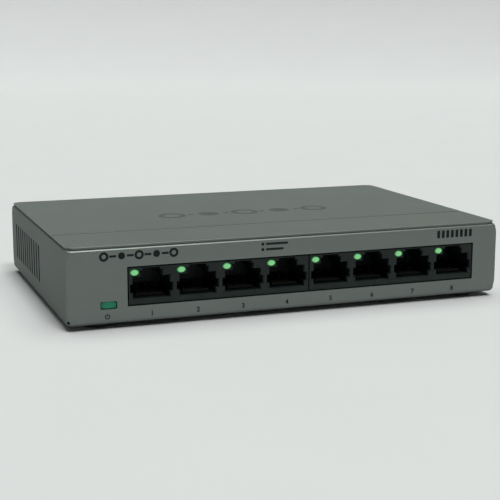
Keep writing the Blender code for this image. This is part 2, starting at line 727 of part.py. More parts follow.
def make_power_lamp(power_green, clear):
    shape = bmesh.new()
    half_w = POWER_HOLE_W / 2 - GAP
    half_h = POWER_HOLE_H / 2 - GAP
    add_prism(shape, rounded_rectangle(half_w, half_h, POWER_HOLE_R), "Y",
              POWER_SETBACK, SHEET + GAP + POWER_FLANGE_T / 2)
    at = (POWER_X, 0.0, POWER_Z)
    lens = make_piece("power_lens", shape, power_green, at)
    flange = bmesh.new()
    outer_w = POWER_HOLE_W / 2 + POWER_FLANGE
    outer_h = POWER_HOLE_H / 2 + POWER_FLANGE
    add_box(flange, (-outer_w, SHEET + GAP, POWER_FLANGE_LOW - POWER_Z),
            (outer_w, SHEET + GAP + POWER_FLANGE_T, outer_h))
    combine(lens, "UNION", flange, at)
    chip_w, chip_d, chip_h = POWER_CHIP
    chip = bmesh.new()
    add_box(chip, (-chip_w / 2, 0.0, 0.0), (chip_w / 2, chip_d, chip_h))
    make_piece("power_led", chip, clear, (POWER_X, BOARD_FRONT + GAP, BOARD_TOP + GAP))


# Power inlet

def make_dc_jack(plastic, nickel):
    body_back = CASE_D - SHEET - GAP
    body_front = body_back - DC_BODY_D
    axis = (DC_X, DC_Z)
    shape = bmesh.new()
    add_box(shape, (DC_X - DC_BODY_W / 2, body_front, BOARD_TOP + GAP),
            (DC_X + DC_BODY_W / 2, body_back, DC_BODY_TOP))
    jack = make_piece("dc_jack_body", shape, plastic)
    nose = bmesh.new()
    add_turned(nose, ((DC_NOSE_R, body_back - CUT), (DC_NOSE_R, CASE_D - DC_NOSE_BACK)), "Y",
               DC_STEPS, axis)
    combine(jack, "UNION", nose)
    bore = bmesh.new()
    bore_end = CASE_D - DC_BORE_DEPTH
    add_turned(bore, ((DC_BORE_R, bore_end), (DC_BORE_R, CASE_D + CUT)), "Y", DC_STEPS, axis)
    combine(jack, "DIFFERENCE", bore)
    passages = bmesh.new()
    hole_r = DC_PIN_R + GAP
    add_turned(passages, ((hole_r, body_front - CUT), (hole_r, bore_end + CUT)), "Y", SCREW_STEPS, axis)
    add_box(passages, (DC_X - DC_SLOT_HALF_W, body_front - CUT, DC_SLOT_LOW),
            (DC_X + DC_SLOT_HALF_W, CASE_D - DC_SLOT_BACK, DC_Z - DC_BORE_R + DC_SLOT_INTO_BORE))
    combine(jack, "DIFFERENCE", passages)
    make_dc_pin(nickel, body_front - DC_TAIL)
    make_dc_leaf(nickel, body_front - DC_TAIL)


def make_dc_pin(nickel, tail_y):
    tip = CASE_D - DC_PIN_BACK
    shape = bmesh.new()
    profile = ((DC_PIN_R, tail_y), (DC_PIN_R, tip - DC_PIN_TAPER), (DC_PIN_R - DC_PIN_TAPER, tip))
    add_turned(shape, profile, "Y", SCREW_STEPS, (DC_X, DC_Z))
    make_piece("dc_jack_pin", shape, nickel)


def make_dc_leaf(nickel, tail_y):
    """The leaf that presses on a plug's sleeve, with its origin where it flexes."""
    length = CASE_D - DC_LEAF_BACK - tail_y
    bump = length - DC_LEAF_BUMP_AT
    foot = BOARD_TOP + GAP - DC_LEAF_Z
    side = [(0.0, foot), (DC_LEAF_FOOT_T, foot), (DC_LEAF_FOOT_T, 0.0), (length, 0.0), (length, DC_LEAF_T),
            (bump + DC_LEAF_BUMP_HALF, DC_LEAF_BUMP), (bump - DC_LEAF_BUMP_HALF, DC_LEAF_BUMP),
            (bump - DC_LEAF_BUMP_RUN, DC_LEAF_T), (0.0, DC_LEAF_T)]
    shape = bmesh.new()
    add_prism(shape, side, "X", -DC_LEAF_HALF_W, DC_LEAF_HALF_W)
    make_piece("dc_jack_spring", shape, nickel, (DC_X, tail_y, DC_LEAF_Z))


# Electronics

def comb_outline(half_w, half_d, reach, leads, lead_w):
    """Plan outline of a package body with a row of leads down each long side."""
    pitch = 2 * half_w / leads
    front = []
    for lead in range(leads):
        middle = -half_w + pitch * (lead + 0.5)
        for x, y in ((-1, 0), (-1, 1), (1, 1), (1, 0)):
            front.append((middle + x * lead_w / 2, -half_d - y * reach))
    back = [(-x, -y) for x, y in front]
    return front + back


def make_package(name, place, size, leads, lead_w, epoxy):
    """A moulded package with a row of leads down its front and back."""
    width, depth, height = size
    at = (*place, BOARD_TOP + GAP)
    shape = bmesh.new()
    add_box(shape, (-width / 2, -depth / 2, PACKAGE_LIFT), (width / 2, depth / 2, height))
    package = make_piece(name, shape, epoxy, at)
    comb = bmesh.new()
    outline = comb_outline(width / 2 - LEAD_MARGIN, depth / 2 - LEAD_LAP, LEAD_REACH, leads, lead_w)
    add_prism(comb, outline, "Z", 0.0, LEAD_T)
    combine(package, "UNION", comb, at)


def make_magnetics(epoxy):
    """One isolating transformer package behind each pair of ports."""
    centres = port_centres()
    for number in range(TRANSFORMERS):
        middle = (centres[2 * number] + centres[2 * number + 1]) / 2
        make_package(f"transformer_{number + 1}", (middle, TRANSFORMER_Y), TRANSFORMER_SIZE,
                     TRANSFORMER_LEADS, WIDE_LEAD, epoxy)


def make_switch_chip(epoxy, silicone, aluminium):
    """The switch chip, the soft pad on it and the heat sink on that."""
    make_package("switch_chip", SWITCH_CHIP_AT, SWITCH_CHIP_SIZE, SWITCH_CHIP_LEADS, FINE_LEAD, epoxy)
    pad = bmesh.new()
    pad_bottom = BOARD_TOP + 2 * GAP + SWITCH_CHIP_SIZE[2]
    add_prism(pad, rounded_rectangle(PAD_HALF, PAD_HALF, PAD_CORNER), "Z", 0.0, PAD_T)
    make_piece("thermal_pad", pad, silicone, (*SWITCH_CHIP_AT, pad_bottom))
    make_heat_sink(aluminium, (*SWITCH_CHIP_AT, pad_bottom + PAD_T + GAP))


def make_heat_sink(aluminium, at):
    """A finned block: a base plate with upright fins along its depth."""
    outline = [(-SINK_HALF, 0.0), (SINK_HALF, 0.0)]
    pitch = (2 * SINK_HALF - FIN_T) / (FINS - 1)
    for fin in reversed(range(FINS)):
        left = -SINK_HALF + fin * pitch
        outline += [(left + FIN_T, SINK_H), (left, SINK_H)]
        if fin > 0:
            outline += [(left, SINK_BASE_H), (left - pitch + FIN_T, SINK_BASE_H)]
    shape = bmesh.new()
    add_prism(shape, outline, "Y", -SINK_HALF, SINK_HALF)
    make_piece("heat_sink", shape, aluminium, at)


def make_capacitor(name, x, y, radius, height, sleeve):
    """An upright can with the rolled groove near its foot."""
    shape = bmesh.new()
    profile = ((radius - CAN_FOOT, 0.0), (radius, CAN_FOOT), (radius, CAN_GROOVE_Z - CAN_GROOVE_HALF),
               (radius - CAN_GROOVE_HALF, CAN_GROOVE_Z), (radius, CAN_GROOVE_Z + CAN_GROOVE_HALF),
               (radius, height - CAN_EDGE), (radius - CAN_EDGE, height))
    add_turned(shape, profile, "Z", DC_STEPS)
    make_piece(name, shape, sleeve, (x, y, BOARD_TOP + GAP))


def make_inductor(name, place, ferrite):
    shape = bmesh.new()
    outline = rounded_rectangle(INDUCTOR_HALF, INDUCTOR_HALF, INDUCTOR_CHAMFER, steps=1)
    add_prism(shape, outline, "Z", 0.0, INDUCTOR_H)
    make_piece(name, shape, ferrite, (*place, BOARD_TOP + GAP))


def make_crystal(nickel):
    """A low can with a welded flange round its foot."""
    can = rounded_rectangle(CRYSTAL_HALF_W, CRYSTAL_HALF_D, CRYSTAL_R)
    flange = rounded_rectangle(
        CRYSTAL_HALF_W + CRYSTAL_FLANGE, CRYSTAL_HALF_D + CRYSTAL_FLANGE, CRYSTAL_R + CRYSTAL_FLANGE)
    levels = ((flange, 0.0), (flange, CRYSTAL_FLANGE_T), (can, CRYSTAL_FLANGE_T), (can, CRYSTAL_H))
    shape = bmesh.new()
    add_loft(shape, [[(x, y, z) for x, y in outline] for outline, z in levels])
    make_piece("crystal", shape, nickel, (*CRYSTAL_AT, BOARD_TOP + GAP))


def make_electronics(looks):
    make_magnetics(looks["epoxy"])
    make_switch_chip(looks["epoxy"], looks["silicone"], looks["aluminium"])
    for name, place in SMALL_CHIPS.items():
        make_package(name, place, SMALL_CHIP_SIZE, SMALL_CHIP_LEADS, FINE_LEAD, looks["epoxy"])
    for name, (x, y, radius, height) in CAPACITORS.items():
        make_capacitor(name, x, y, radius, height, looks["sleeve"])
    for name, place in INDUCTORS.items():
        make_inductor(name, place, looks["ferrite"])
    make_crystal(looks["nickel"])


def gather_under_origin():
    """Parents every piece to one empty at the origin, so that the switch moves as a whole."""
    origin = bpy.data.objects.new("switch_origin", None)
    bpy.context.scene.collection.objects.link(origin)
    for piece in bpy.context.scene.objects:
        if piece.type == "MESH":
            piece.parent = origin


def main():
    clear_scene()
    paint = make_material("grey_paint", PAINT)
    plastic = make_material("black_plastic", BLACK_PLASTIC)
    zinc = make_material("zinc_plate", ZINC)
    nickel = make_material("nickel_plate", NICKEL)
    make_tray(paint)
    make_lid(paint)
    make_feet(make_material("foot_rubber", RUBBER))
    make_lid_screws(zinc)
    make_board_screws(zinc)
    make_label(make_material("label_film", LABEL_FILM))
    make_board(make_material("solder_mask", SOLDER_MASK))
    make_jack_blocks(plastic)
    make_contact_sets(make_material("contact_gold", GOLD))
    make_port_lamps(make_material("lamp_green", LAMP_GREEN))
    make_power_lamp(make_material("power_green", POWER_GREEN), make_material("clear_led", CLEAR_LED))
    make_dc_jack(plastic, nickel)
    make_electronics({
        "epoxy": make_material("chip_epoxy", CHIP_EPOXY),
        "silicone": make_material("silicone_pad", SILICONE),
        "aluminium": make_material("plain_aluminium", ALUMINIUM),
        "nickel": nickel,
        "sleeve": make_material("can_sleeve", CAN_SLEEVE),
        "ferrite": make_material("ferrite", FERRITE),
    })
    gather_under_origin()


main()
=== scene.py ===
"""The looks of the desktop network switch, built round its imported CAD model.

Pieces are drawn in case millimetres: x from the left side of the tray, y from
its front and z from its underside. build() moves them into the frame, in metres.
"""
import json
from math import asin, atan2, cos, hypot, pi, radians, sin

import bmesh
import bpy
from mathutils import Matrix, Vector

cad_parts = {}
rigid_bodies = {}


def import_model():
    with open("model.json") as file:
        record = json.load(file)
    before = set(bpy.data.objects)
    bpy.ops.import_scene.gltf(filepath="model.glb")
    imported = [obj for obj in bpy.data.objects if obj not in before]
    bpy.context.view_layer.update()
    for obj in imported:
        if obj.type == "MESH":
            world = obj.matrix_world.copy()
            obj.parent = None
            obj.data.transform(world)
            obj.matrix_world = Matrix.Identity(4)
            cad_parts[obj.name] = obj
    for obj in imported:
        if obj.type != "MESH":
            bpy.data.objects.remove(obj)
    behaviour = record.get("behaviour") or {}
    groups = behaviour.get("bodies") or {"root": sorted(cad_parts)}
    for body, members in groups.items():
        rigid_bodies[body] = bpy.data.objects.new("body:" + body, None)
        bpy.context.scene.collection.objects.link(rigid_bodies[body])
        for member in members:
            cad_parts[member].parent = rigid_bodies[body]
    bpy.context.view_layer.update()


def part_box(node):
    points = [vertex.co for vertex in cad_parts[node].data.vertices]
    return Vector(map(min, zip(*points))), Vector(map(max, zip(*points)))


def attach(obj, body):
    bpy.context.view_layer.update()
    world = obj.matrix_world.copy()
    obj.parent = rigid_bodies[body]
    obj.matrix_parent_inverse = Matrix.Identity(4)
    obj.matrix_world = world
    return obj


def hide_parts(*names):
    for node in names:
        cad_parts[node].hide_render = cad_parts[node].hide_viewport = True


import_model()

MM = 0.001
CUT = 2.0
SHARP_ANGLE = 25.0
EDGE_ANGLE = 50.0
EDGE_SEGMENTS = 2
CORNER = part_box("base_tray")[0]
CASE = "case"


def case_box(node):
    """Lowest and highest corner of a CAD node, in case millimetres."""
    low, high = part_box(node)
    return (low - CORNER) / MM, (high - CORNER) / MM


def middle(node):
    low, high = case_box(node)
    return (low + high) / 2


# Sizes and places that the frame gives
CASE_W, CASE_D = case_box("base_tray")[1].xy
LID_SETBACK = case_box("top_cover")[0].x
CASE_H = case_box("top_cover")[1].z
BLOCKS = ("jack_block_left", "jack_block_right")
BLOCK_LOW, BLOCK_HIGH = case_box(BLOCKS[0])
BOARD_BOTTOM = case_box("main_board")[0].z
BOARD_TOP = case_box("main_board")[1].z
FLOOR_Z = case_box("foot_front_left")[0].z
PORTS = range(1, 9)
PORT_X = [middle(f"port_{port}_contacts").x for port in PORTS]
LAMP_X = [middle(f"port_{port}_lamp").x for port in PORTS]
LENS = middle("power_lens").x
INLET = middle("dc_jack_pin")
BOARD_SCREWS = [f"board_screw_{number}" for number in range(1, 5)]
COVER_SCREWS = ("cover_screw_left", "cover_screw_right")

# Sheet metal
SHEET = 1.0
BASE_BEND = 1.3
CORNER_R = 1.2
CORNER_BASE_R = 2.8
CORNER_FLARE_H = 4.0
CORNER_TOP_FLARE_H = 3.0
INNER_CORNER_R = 2.3
LEAST_CORNER_R = 0.12
SHOULDER_R = 0.95
GAP = 0.3
ROUND_STEPS = 8
ROUND_SIDES = 4 * ROUND_STEPS
TURNED_SIDES = 48
FINE_SIDES = 64
WIRE_SIDES = 10
RELIEF_SIDES = 16
FORM_R = 0.35
LID_SHEET = 0.8
SEAM = 0.08                 # between the walls and the lid
WALL_TOP = CASE_H - LID_SHEET - SEAM
LID_EDGE_R = 0.09
LID_CORNER_R = 3.4
LID_EDGE_IN = 0.3           # how far the lid's outer edge slopes in to its underside
LID_FLANGE_H = 5.0
LID_TAB_HALF_W = 5.0
LID_TAB_LOW = 10.6
EAR_X = 30.0
EAR_HALF_W = 4.0
EAR_REACH = 2.2
EAR_LOW = 22.0
EAR_HIGH = 22.8
CREASE_Y = 25.4
CREASE_W = 0.75
CREASE_DEPTH = 0.3
CREASE_INSET = 1.0
RELIEF_R = 0.6
RELIEF_Z = 1.3
RELIEF_IN = 0.67
RELIEF_L = 3.0
VENTS = 11
VENT_PITCH = 4.7
VENT_FIRST_Y = 46.8
VENT_W = 2.0
VENT_LOW = 5.4
VENT_HIGH = 18.9
VENT_END_R = 0.7
KEYHOLE_X = 24.0
KEYHOLE_Y = 55.0
KEYHOLE_HEAD_R = 3.8
KEYHOLE_SLOT_HALF_W = 2.1
KEYHOLE_SLOT_L = 9.0
LOCK_X = 138.0
LOCK_Z = 12.5
LOCK_HALF_W = 3.5
LOCK_HALF_H = 1.6
BOSS_R = 3.4
BOSS_FLARE = 0.8
DIMPLE_R = 4.2
DIMPLE_D = 1.1
SCREW_HOLE_R = 1.55
TRAY_EDGE = 0.12
LID_EDGE = 0.05

# Screws
SCREW_R = 1.25
THREAD_PITCH = 0.5
THREAD_DEPTH = 0.18
FLAT_HEAD_R = 2.75
FLAT_HEAD_H = 1.5
PAN_HEAD_R = 2.8
PAN_HEAD_H = 1.7
CROSS_W = 0.7
CROSS_L = 2.8
CROSS_DEPTH = 0.9
CROSS_TAPER = 0.28           # share of its width that it loses in that depth

# Jacks
PORT_PITCH = 15.875
PORT_DEPTH = 14.8
PORT_FLOOR = 7.7
# The right half of an opening, from its middle
PORT_RIGHT = ((6.15, 7.7), (6.15, 9.6), (7.05, 9.6), (7.05, 12.3), (6.15, 12.3), (6.15, 14.8),
              (3.55, 14.8), (3.55, 16.8), (2.75, 16.8), (2.75, 17.6))
MOUTH_FLARE = 0.3
WINDOW_GAP = 0.25
BLOCK_STEP = 0.25
BLOCK_EDGE = 0.08
SPRINGS = 8
SPRING_PITCH = 1.02
SPRING_R = 0.19
SPRING_L = 10.6
SPRING_ROOT = 0.1            # where a wire starts, behind the pivot
SPRING_STEPS = 10
SPRING_RISE = 1.25
SPRING_SAG = 0.05
SPRING_PIVOT_Y = 3.2
SPRING_PIVOT_Z = 8.4
BAR_HALF_W = 4.6
BAR_HALF = 0.35
COMB_T = 0.3
COMB_FRONT = 12.2
COMB_TOP = 9.9
COMB_EDGE = 0.05
LAMP_Z = 16.4
LAMP_HALF_W = 1.55
LAMP_HALF_H = 1.1
LAMP_FINE_GAP = 0.15
LAMP_DEPTH = 7.0
LAMP_PROUD = 0.1
# Share of the full width at each depth from the face of the block
LAMP_PROFILE = ((0.25, -LAMP_PROUD), (0.55, -LAMP_PROUD + 0.05), (0.8, 0.02), (0.93, 0.16), (1.0, 0.4),
                (1.0, LAMP_DEPTH))
LEAD_START = LAMP_DEPTH - 1.0
LEAD_R = 0.25
LEAD_SPACING = 1.3
LEAD_TURN_Y = 20.2
LEAD_BEND_R = 0.9

# Power window
POWER_Z = 6.3
LENS_HOLE_W = 5.6
LENS_HOLE_H = 2.6
LENS_R = 0.5
LENS_SETBACK = 0.1
LENS_CHAMFER = 0.12
LENS_EDGE = 0.06

# Power inlet
DC_HOLE_R = 4.7
DC_NOSE_R = 4.3
DC_BORE_R = 3.2
DC_BORE_DEPTH = 9.5
DC_NOSE_BACK = 0.1
DC_CHAMFER = 0.5
DC_SLOT_HALF_W = 1.5
DC_SLOT_LOW = 6.9
DC_SLOT_BACK = 3.0
DC_SLOT_INTO_BORE = 0.5
DC_NOSE_CHAMFER = 0.3
DC_EDGE = 0.1

# Print
INK_T = 0.03
PRINTED = {"Y": (0.0, -INK_T), "Z": (CASE_H, CASE_H + INK_T)}    # under and upper side of the ink
DIGIT_H = 1.7
DIGIT_SCALE = 1.37           # size of the font over the height of its digits
DIGIT_Z = 2.5
DIGIT_BOLD = 0.06
POWER_ICON = (13.4, 2.6)
POWER_ICON_R = 0.9
STROKE = 0.32
FRONT_MARK = (11.0, 20.8, 37.5, 23.9)
FRONT_CHAIN = (5, 1.55, 0.8)    # links, radius and stroke
PORTS_MARK = (133.0, 20.8, 147.7, 23.9)
LEGEND = (66.6, 20.5, 76.2, 23.7)
TOP_MARK = (45.5, 45.5, 112.7, 57.4)
TOP_CHAIN = (5, 5.2, 2.0)
LABEL_MARGIN = 1.5
LABEL_LINE = 0.3
LABEL_BARS = 5
LABEL_BAR_PITCH = 4.0

# Camera, floor and light
CAMERA_LENS = 85.056
CAMERA_PLACE = (-72.289, -364.128, 95.893)
CAMERA_YAW = 20.310
CAMERA_PITCH = 10.861
CAMERA_ROLL = 0.101
DISH_FLAT = 1600.0
DISH_BEND = 800.0
DISH_WALL = 1200.0
DISH_SIDES = 96
WORLD_STRENGTH = 0.1
WORLD_COLOUR = (0.95, 0.98, 1.0, 1.0)
SENSOR_W = 36.0
CLIP_START = 0.01
# Direction, strength, colour and angular size of each lamp
SUNS = (((0.10, -0.5, 0.86), 1.76, (1.0, 1.0, 1.0), 14.0),
        ((0.10, 0.1, 0.99), 2.88, (0.985, 1.055, 0.965), 60.0))


# Drawing

def add_box(shape, low, high):
    low = Vector(low)
    high = Vector(high)
    place = Matrix.Translation((low + high) / 2) @ Matrix.Diagonal((*(high - low), 1.0))
    bmesh.ops.create_cube(shape, size=1.0, matrix=place)


def add_loft(shape, rings, slot=0, top=True):
    """A surface through rings of equally many points, capped at the first and, with a top, the last."""
    loops = [[shape.verts.new(point) for point in ring] for ring in rings]
    faces = [shape.faces.new(reversed(loops[0]))]
    if top:
        faces.append(shape.faces.new(loops[-1]))
    for lower, upper in zip(loops, loops[1:]):
        for index, vertex in enumerate(lower):
            following = (index + 1) % len(lower)
            faces.append(shape.faces.new((vertex, lower[following], upper[following], upper[index])))
    for face in faces:
        face.material_index = slot


def placed(first, second, along, axis):
    """A point from its place along one axis and the other two coordinates in order."""
    point = [first, second]
    point.insert("XYZ".index(axis), along)
    return point


def add_levels(shape, levels, axis, slot=0):
    """A solid through flat outlines, each given with its place along the axis."""
    add_loft(shape, [[placed(u, v, along, axis) for u, v in outline] for outline, along in levels], slot)


def add_prism(shape, outline, axis, start, end, slot=0):
    add_levels(shape, ((outline, start), (outline, end)), axis, slot)


def add_turned(shape, profile, axis, steps, centre=(0.0, 0.0)):
    """A solid turned about an axis, from (radius, height) pairs."""
    levels = [(round_outline(radius, radius, steps, centre), height) for radius, height in profile]
    add_levels(shape, levels, axis)


def turn_at(shape, nodes, axis, *profiles):
    """The same turned solids on the axis of each CAD node."""
    for node in nodes:
        x, y, z = middle(node)
        for profile in profiles:
            add_turned(shape, profile, axis, ROUND_SIDES, (x, y if axis == "Z" else z))


def add_tube(shape, path, radius, slot=0):
    """A round wire along points that share their first coordinate."""
    rings = []
    for index, point in enumerate(path):
        before = path[max(index - 1, 0)]
        after = path[min(index + 1, len(path) - 1)]
        run = atan2(after[2] - before[2], after[1] - before[1])
        ring = []
        for side in range(WIRE_SIDES):
            turn = 2 * pi * side / WIRE_SIDES
            out = radius * sin(turn)
            ring.append((point[0] + radius * cos(turn), point[1] - out * sin(run), point[2] + out * cos(run)))
        rings.append(ring)
    add_loft(shape, rings, slot)


def add_band(shape, outer, inner, axis, start, end):
    """A closed band of some thickness between two outlines of equally many points."""
    loops = []
    for outline, along in ((outer, start), (outer, end), (inner, end), (inner, start)):
        loops.append([shape.verts.new(placed(u, v, along, axis)) for u, v in outline])
    for loop, other in zip(loops, loops[1:] + loops[:1]):
        for index, vertex in enumerate(loop):
            following = (index + 1) % len(loop)
            shape.faces.new((vertex, loop[following], other[following], other[index]))


def round_outline(half_w, half_h, steps, centre=(0.0, 0.0)):
    turns = [2 * pi * step / steps for step in range(steps)]
    return [(centre[0] + half_w * cos(turn), centre[1] + half_h * sin(turn)) for turn in turns]


def rectangle(low_u, low_v, high_u, high_v):
    return [(low_u, low_v), (high_u, low_v), (high_u, high_v), (low_u, high_v)]


def rounded_rectangle(half_w, half_h, radius, centre=(0.0, 0.0), steps=ROUND_STEPS):
    points = []
    for quarter, (side_x, side_y) in enumerate(((1, 1), (-1, 1), (-1, -1), (1, -1))):
        corner_x = centre[0] + side_x * (half_w - radius)
        corner_y = centre[1] + side_y * (half_h - radius)
        for step in range(steps + 1):
            turn = pi / 2 * (quarter + step / steps)
            points.append((corner_x + radius * cos(turn), corner_y + radius * sin(turn)))
    return points


def quarter_turns():
    return [pi / 2 * step / ROUND_STEPS for step in range(ROUND_STEPS + 1)]


def case_ring(inset, z):
    """The plan outline of the case at one height, whose corners are rounder at the base and at the top."""
    flare = max(0.0, 1.0 - z / CORNER_FLARE_H, 1.0 - (WALL_TOP - z) / CORNER_TOP_FLARE_H)
    corner = CORNER_R + flare * (CORNER_BASE_R - CORNER_R)
    return plan_ring(inset, max(corner - inset, LEAST_CORNER_R), z)


def plan_ring(inset, radius, z):
    """A level ring of points, drawn in from the outer faces of the case."""
    outline = rounded_rectangle(CASE_W / 2 - inset, CASE_D / 2 - inset, radius, (CASE_W / 2, CASE_D / 2))
    return [(x, y, z) for x, y in outline]


def grown(outline, offset):
    """An outline of upright and level edges, run anticlockwise, moved outwards."""
    moved = []
    for index, point in enumerate(outline):
        x, y = point
        for start, end in ((outline[index - 1], point), (point, outline[(index + 1) % len(outline)])):
            run_x = end[0] - start[0]
            run_y = end[1] - start[1]
            x += offset * run_y / hypot(run_x, run_y)
            y -= offset * run_x / hypot(run_x, run_y)
        moved.append((x, y))
    return moved


# Objects

def build(name, shape, *materials, origin=(0.0, 0.0, 0.0), body=CASE, slot=None, replaces=()):
    """Finishes a shape, drawn about its origin, as a piece of the object."""
    bmesh.ops.recalc_face_normals(shape, faces=shape.faces)
    bmesh.ops.scale(shape, vec=(MM, MM, MM), verts=shape.verts)
    mesh = bpy.data.meshes.new(name)
    shape.to_mesh(mesh)
    shape.free()
    for material in materials:
        mesh.materials.append(material)
    mesh.shade_smooth()
    mesh.set_sharp_from_angle(angle=radians(SHARP_ANGLE))
    return show(name, mesh, origin, body, replaces)


def new_object(name, data):
    thing = bpy.data.objects.new(name, data)
    bpy.context.scene.collection.objects.link(thing)
    return thing


def show(name, mesh, origin, body=CASE, replaces=()):
    """A piece of the object from a mesh, which other pieces may share."""
    piece = new_object(name, mesh)
    piece.location = CORNER + Vector(origin) * MM
    if body is not None:
        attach(piece, body)
    if replaces:
        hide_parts(*replaces)
    return piece


def build_alike(shape, materials, slot, copies, cutter=None):
    """Pieces that share one mesh, less any cutter; each is given as its name, CAD node, place and body."""
    mesh = None
    for name, node, place, body in copies:
        if mesh is None:
            first = build(name, shape, *materials, origin=place, body=body, slot=slot, replaces=[node])
            if cutter is not None:
                combine(first, "DIFFERENCE", cutter, overlapping=True)
            mesh = first.data
        else:
            show(name, mesh, place, body, [node])


def evaluated_mesh(piece):
    bpy.context.view_layer.update()
    return bpy.data.meshes.new_from_object(
        piece.evaluated_get(bpy.context.evaluated_depsgraph_get()))


def combine(piece, operation, shape, overlapping=False):
    """Unites a shape with a piece, or cuts it out; both are drawn about the same origin."""
    tool = build(piece.name + "_tool", shape, *piece.data.materials, body=None)
    tool.matrix_world = piece.matrix_world
    modifier = piece.modifiers.new(operation, "BOOLEAN")
    modifier.operation = operation
    modifier.solver = "EXACT"
    modifier.use_self = overlapping
    modifier.object = tool
    result = evaluated_mesh(piece)
    result.shade_smooth()
    result.set_sharp_from_angle(angle=radians(SHARP_ANGLE))
    piece.modifiers.clear()
    piece.data = result
    bpy.data.objects.remove(tool)


def soften(piece, width):
    """Rounds the sharp edges of a piece; its flat faces still shade flat."""
    bevel = piece.modifiers.new("edges", "BEVEL")
    bevel.width = width * MM
    bevel.segments = EDGE_SEGMENTS
    bevel.limit_method = "ANGLE"
    bevel.angle_limit = radians(EDGE_ANGLE)
    weighted = piece.modifiers.new("shading", "WEIGHTED_NORMAL")
    weighted.keep_sharp = True


# Materials

EVEN = (1.0, 1.0, 1.0)
NOISE_MIDDLE = (0.3, 0.7)    # where most of a noise's values lie


class Look:
    """A Principled material, and the textures in object space that vary it."""

    def __init__(self, name, colour, roughness, metallic=0.0, **others):
        self.material = bpy.data.materials.new(name)
        self.material.use_nodes = True
        self.nodes = self.material.node_tree.nodes
        self.links = self.material.node_tree.links
        self.shader = self.nodes["Principled BSDF"]
        self.base = colour
        self.normal = None
        self.fill(self.shader, Base_Color=(*colour, 1.0), Roughness=roughness, Metallic=metallic, **others)
        self.place = self.nodes.new("ShaderNodeTexCoord").outputs["Object"]

    def fill(self, node, **values):
        """Sets or links the inputs of a node by name."""
        for label, value in values.items():
            socket = node.inputs[label.replace("_", " ")]
            if isinstance(value, bpy.types.NodeSocket):
                self.links.new(value, socket)
            else:
                socket.default_value = value

    def add(self, kind, **values):
        node = self.nodes.new("ShaderNode" + kind)
        self.fill(node, **values)
        return node

    def scaled(self, scale):
        return self.add("Mapping", Scale=scale, Vector=self.place).outputs["Vector"]

    def noise(self, size, detail, stretch=EVEN):
        """Soft noise whose blobs are about `size` millimetres across."""
        place = self.scaled(stretch)
        return self.add("TexNoise", Scale=1.0 / (size * MM), Detail=detail, Vector=place).outputs["Fac"]

    def cells(self, size):
        return self.add("TexVoronoi", Scale=1.0 / (size * MM), Vector=self.scaled(EVEN)).outputs["Distance"]

    def glow(self, half_w, half_h):
        """1 on the piece's own Y axis, falling to 0 on an oval round it."""
        texture = self.add("TexGradient", Vector=self.scaled((1.0 / (half_w * MM), 0.0, 1.0 / (half_h * MM))))
        texture.gradient_type = "SPHERICAL"
        return texture.outputs["Fac"]

    def height(self):
        """The z coordinate, in metres."""
        return self.add("SeparateXYZ", Vector=self.place).outputs["Z"]

    def edges(self, radius):
        """0 on flat faces, more where a rounded edge is near."""
        bevel = self.add("Bevel", Radius=radius * MM)
        bevel.samples = 4
        agreement = self.add("VectorMath")
        agreement.operation = "DOT_PRODUCT"
        self.links.new(bevel.outputs["Normal"], agreement.inputs[0])
        self.links.new(self.add("NewGeometry").outputs["Normal"], agreement.inputs[1])
        return self.ranged(agreement.outputs["Value"], (0.995, 0.93), (0.0, 1.0))

    def ranged(self, value, source, target):
        return self.add("MapRange", Value=value, From_Min=source[0], From_Max=source[1], To_Min=target[0],
                        To_Max=target[1]).outputs["Result"]

    def mixed(self, share, first, second):
        """A colour between two, each a colour or a socket."""
        node = self.nodes.new("ShaderNodeMix")
        node.data_type = "RGBA"
        self.links.new(share, node.inputs[0])
        for socket, colour in ((node.inputs[6], first), (node.inputs[7], second)):
            if isinstance(colour, tuple):
                socket.default_value = (*colour, 1.0)
            else:
                self.links.new(colour, socket)
        return node.outputs[2]

    def tint(self, value, source, colour, most=1.0):
        """Turns the base colour towards another as the value runs through a range."""
        share = self.ranged(value, source, (0.0, most))
        self.base = self.mixed(share, self.base, colour)
        self.fill(self.shader, Base_Color=self.base)
        return self

    def vary(self, label, value, source, target):
        self.fill(self.shader, **{label: self.ranged(value, source, target)})
        return self

    def gloss(self, low, high, *grain):
        """Roughness that runs between two values with a noise."""
        return self.vary("Roughness", self.noise(*grain), NOISE_MIDDLE, (low, high))

    def grain(self, depth, strength, *grain):
        """Bumps the surface with a noise."""
        return self.emboss(self.noise(*grain), depth, strength)

    def emboss(self, value, depth, strength):
        """Bumps the surface by a height in millimetres."""
        bump = self.add("Bump", Strength=strength, Distance=depth * MM, Height=value)
        if self.normal is not None:
            self.fill(bump, Normal=self.normal)
        self.normal = bump.outputs["Normal"]
        self.fill(self.shader, Normal=self.normal)
        return self

    def light(self, shine, source, rim, core):
        """Light from inside, which runs from one colour to another with the glow."""
        colour = self.mixed(self.ranged(shine, source, (0.0, 1.0)), rim, core)
        self.fill(self.shader, Emission_Color=colour, Emission_Strength=1.0)


def paint_look():
    """Grey powder coat: a fine orange peel, cloudy gloss and edges a little lighter, partly wear and partly
    painted highlight.
    """
    look = Look("powder_coat", (0.148, 0.166, 0.157), 0.4, 0.58, Specular_IOR_Level=0.0,
                Specular_Tint=(0.55, 0.55, 0.55, 1.0))
    look.tint(look.noise(26.0, 3.0), (0.35, 0.65), (0.156, 0.175, 0.165))
    look.tint(look.noise(0.28, 1.0), (0.42, 0.62), (0.170, 0.190, 0.180), 0.5)
    # Rounded edges a little lighter: partly edge wear, partly a painted highlight such as the one on the
    # lid's front edge.
    look.tint(look.edges(0.3), (0.0, 1.0), (0.22, 0.24, 0.23), 0.5)
    look.gloss(0.345, 0.405, 0.9, 3.0)
    look.grain(0.007, 0.4, 0.55, 2.0)
    look.grain(0.006, 0.3, 0.16, 1.0)
    return look.material


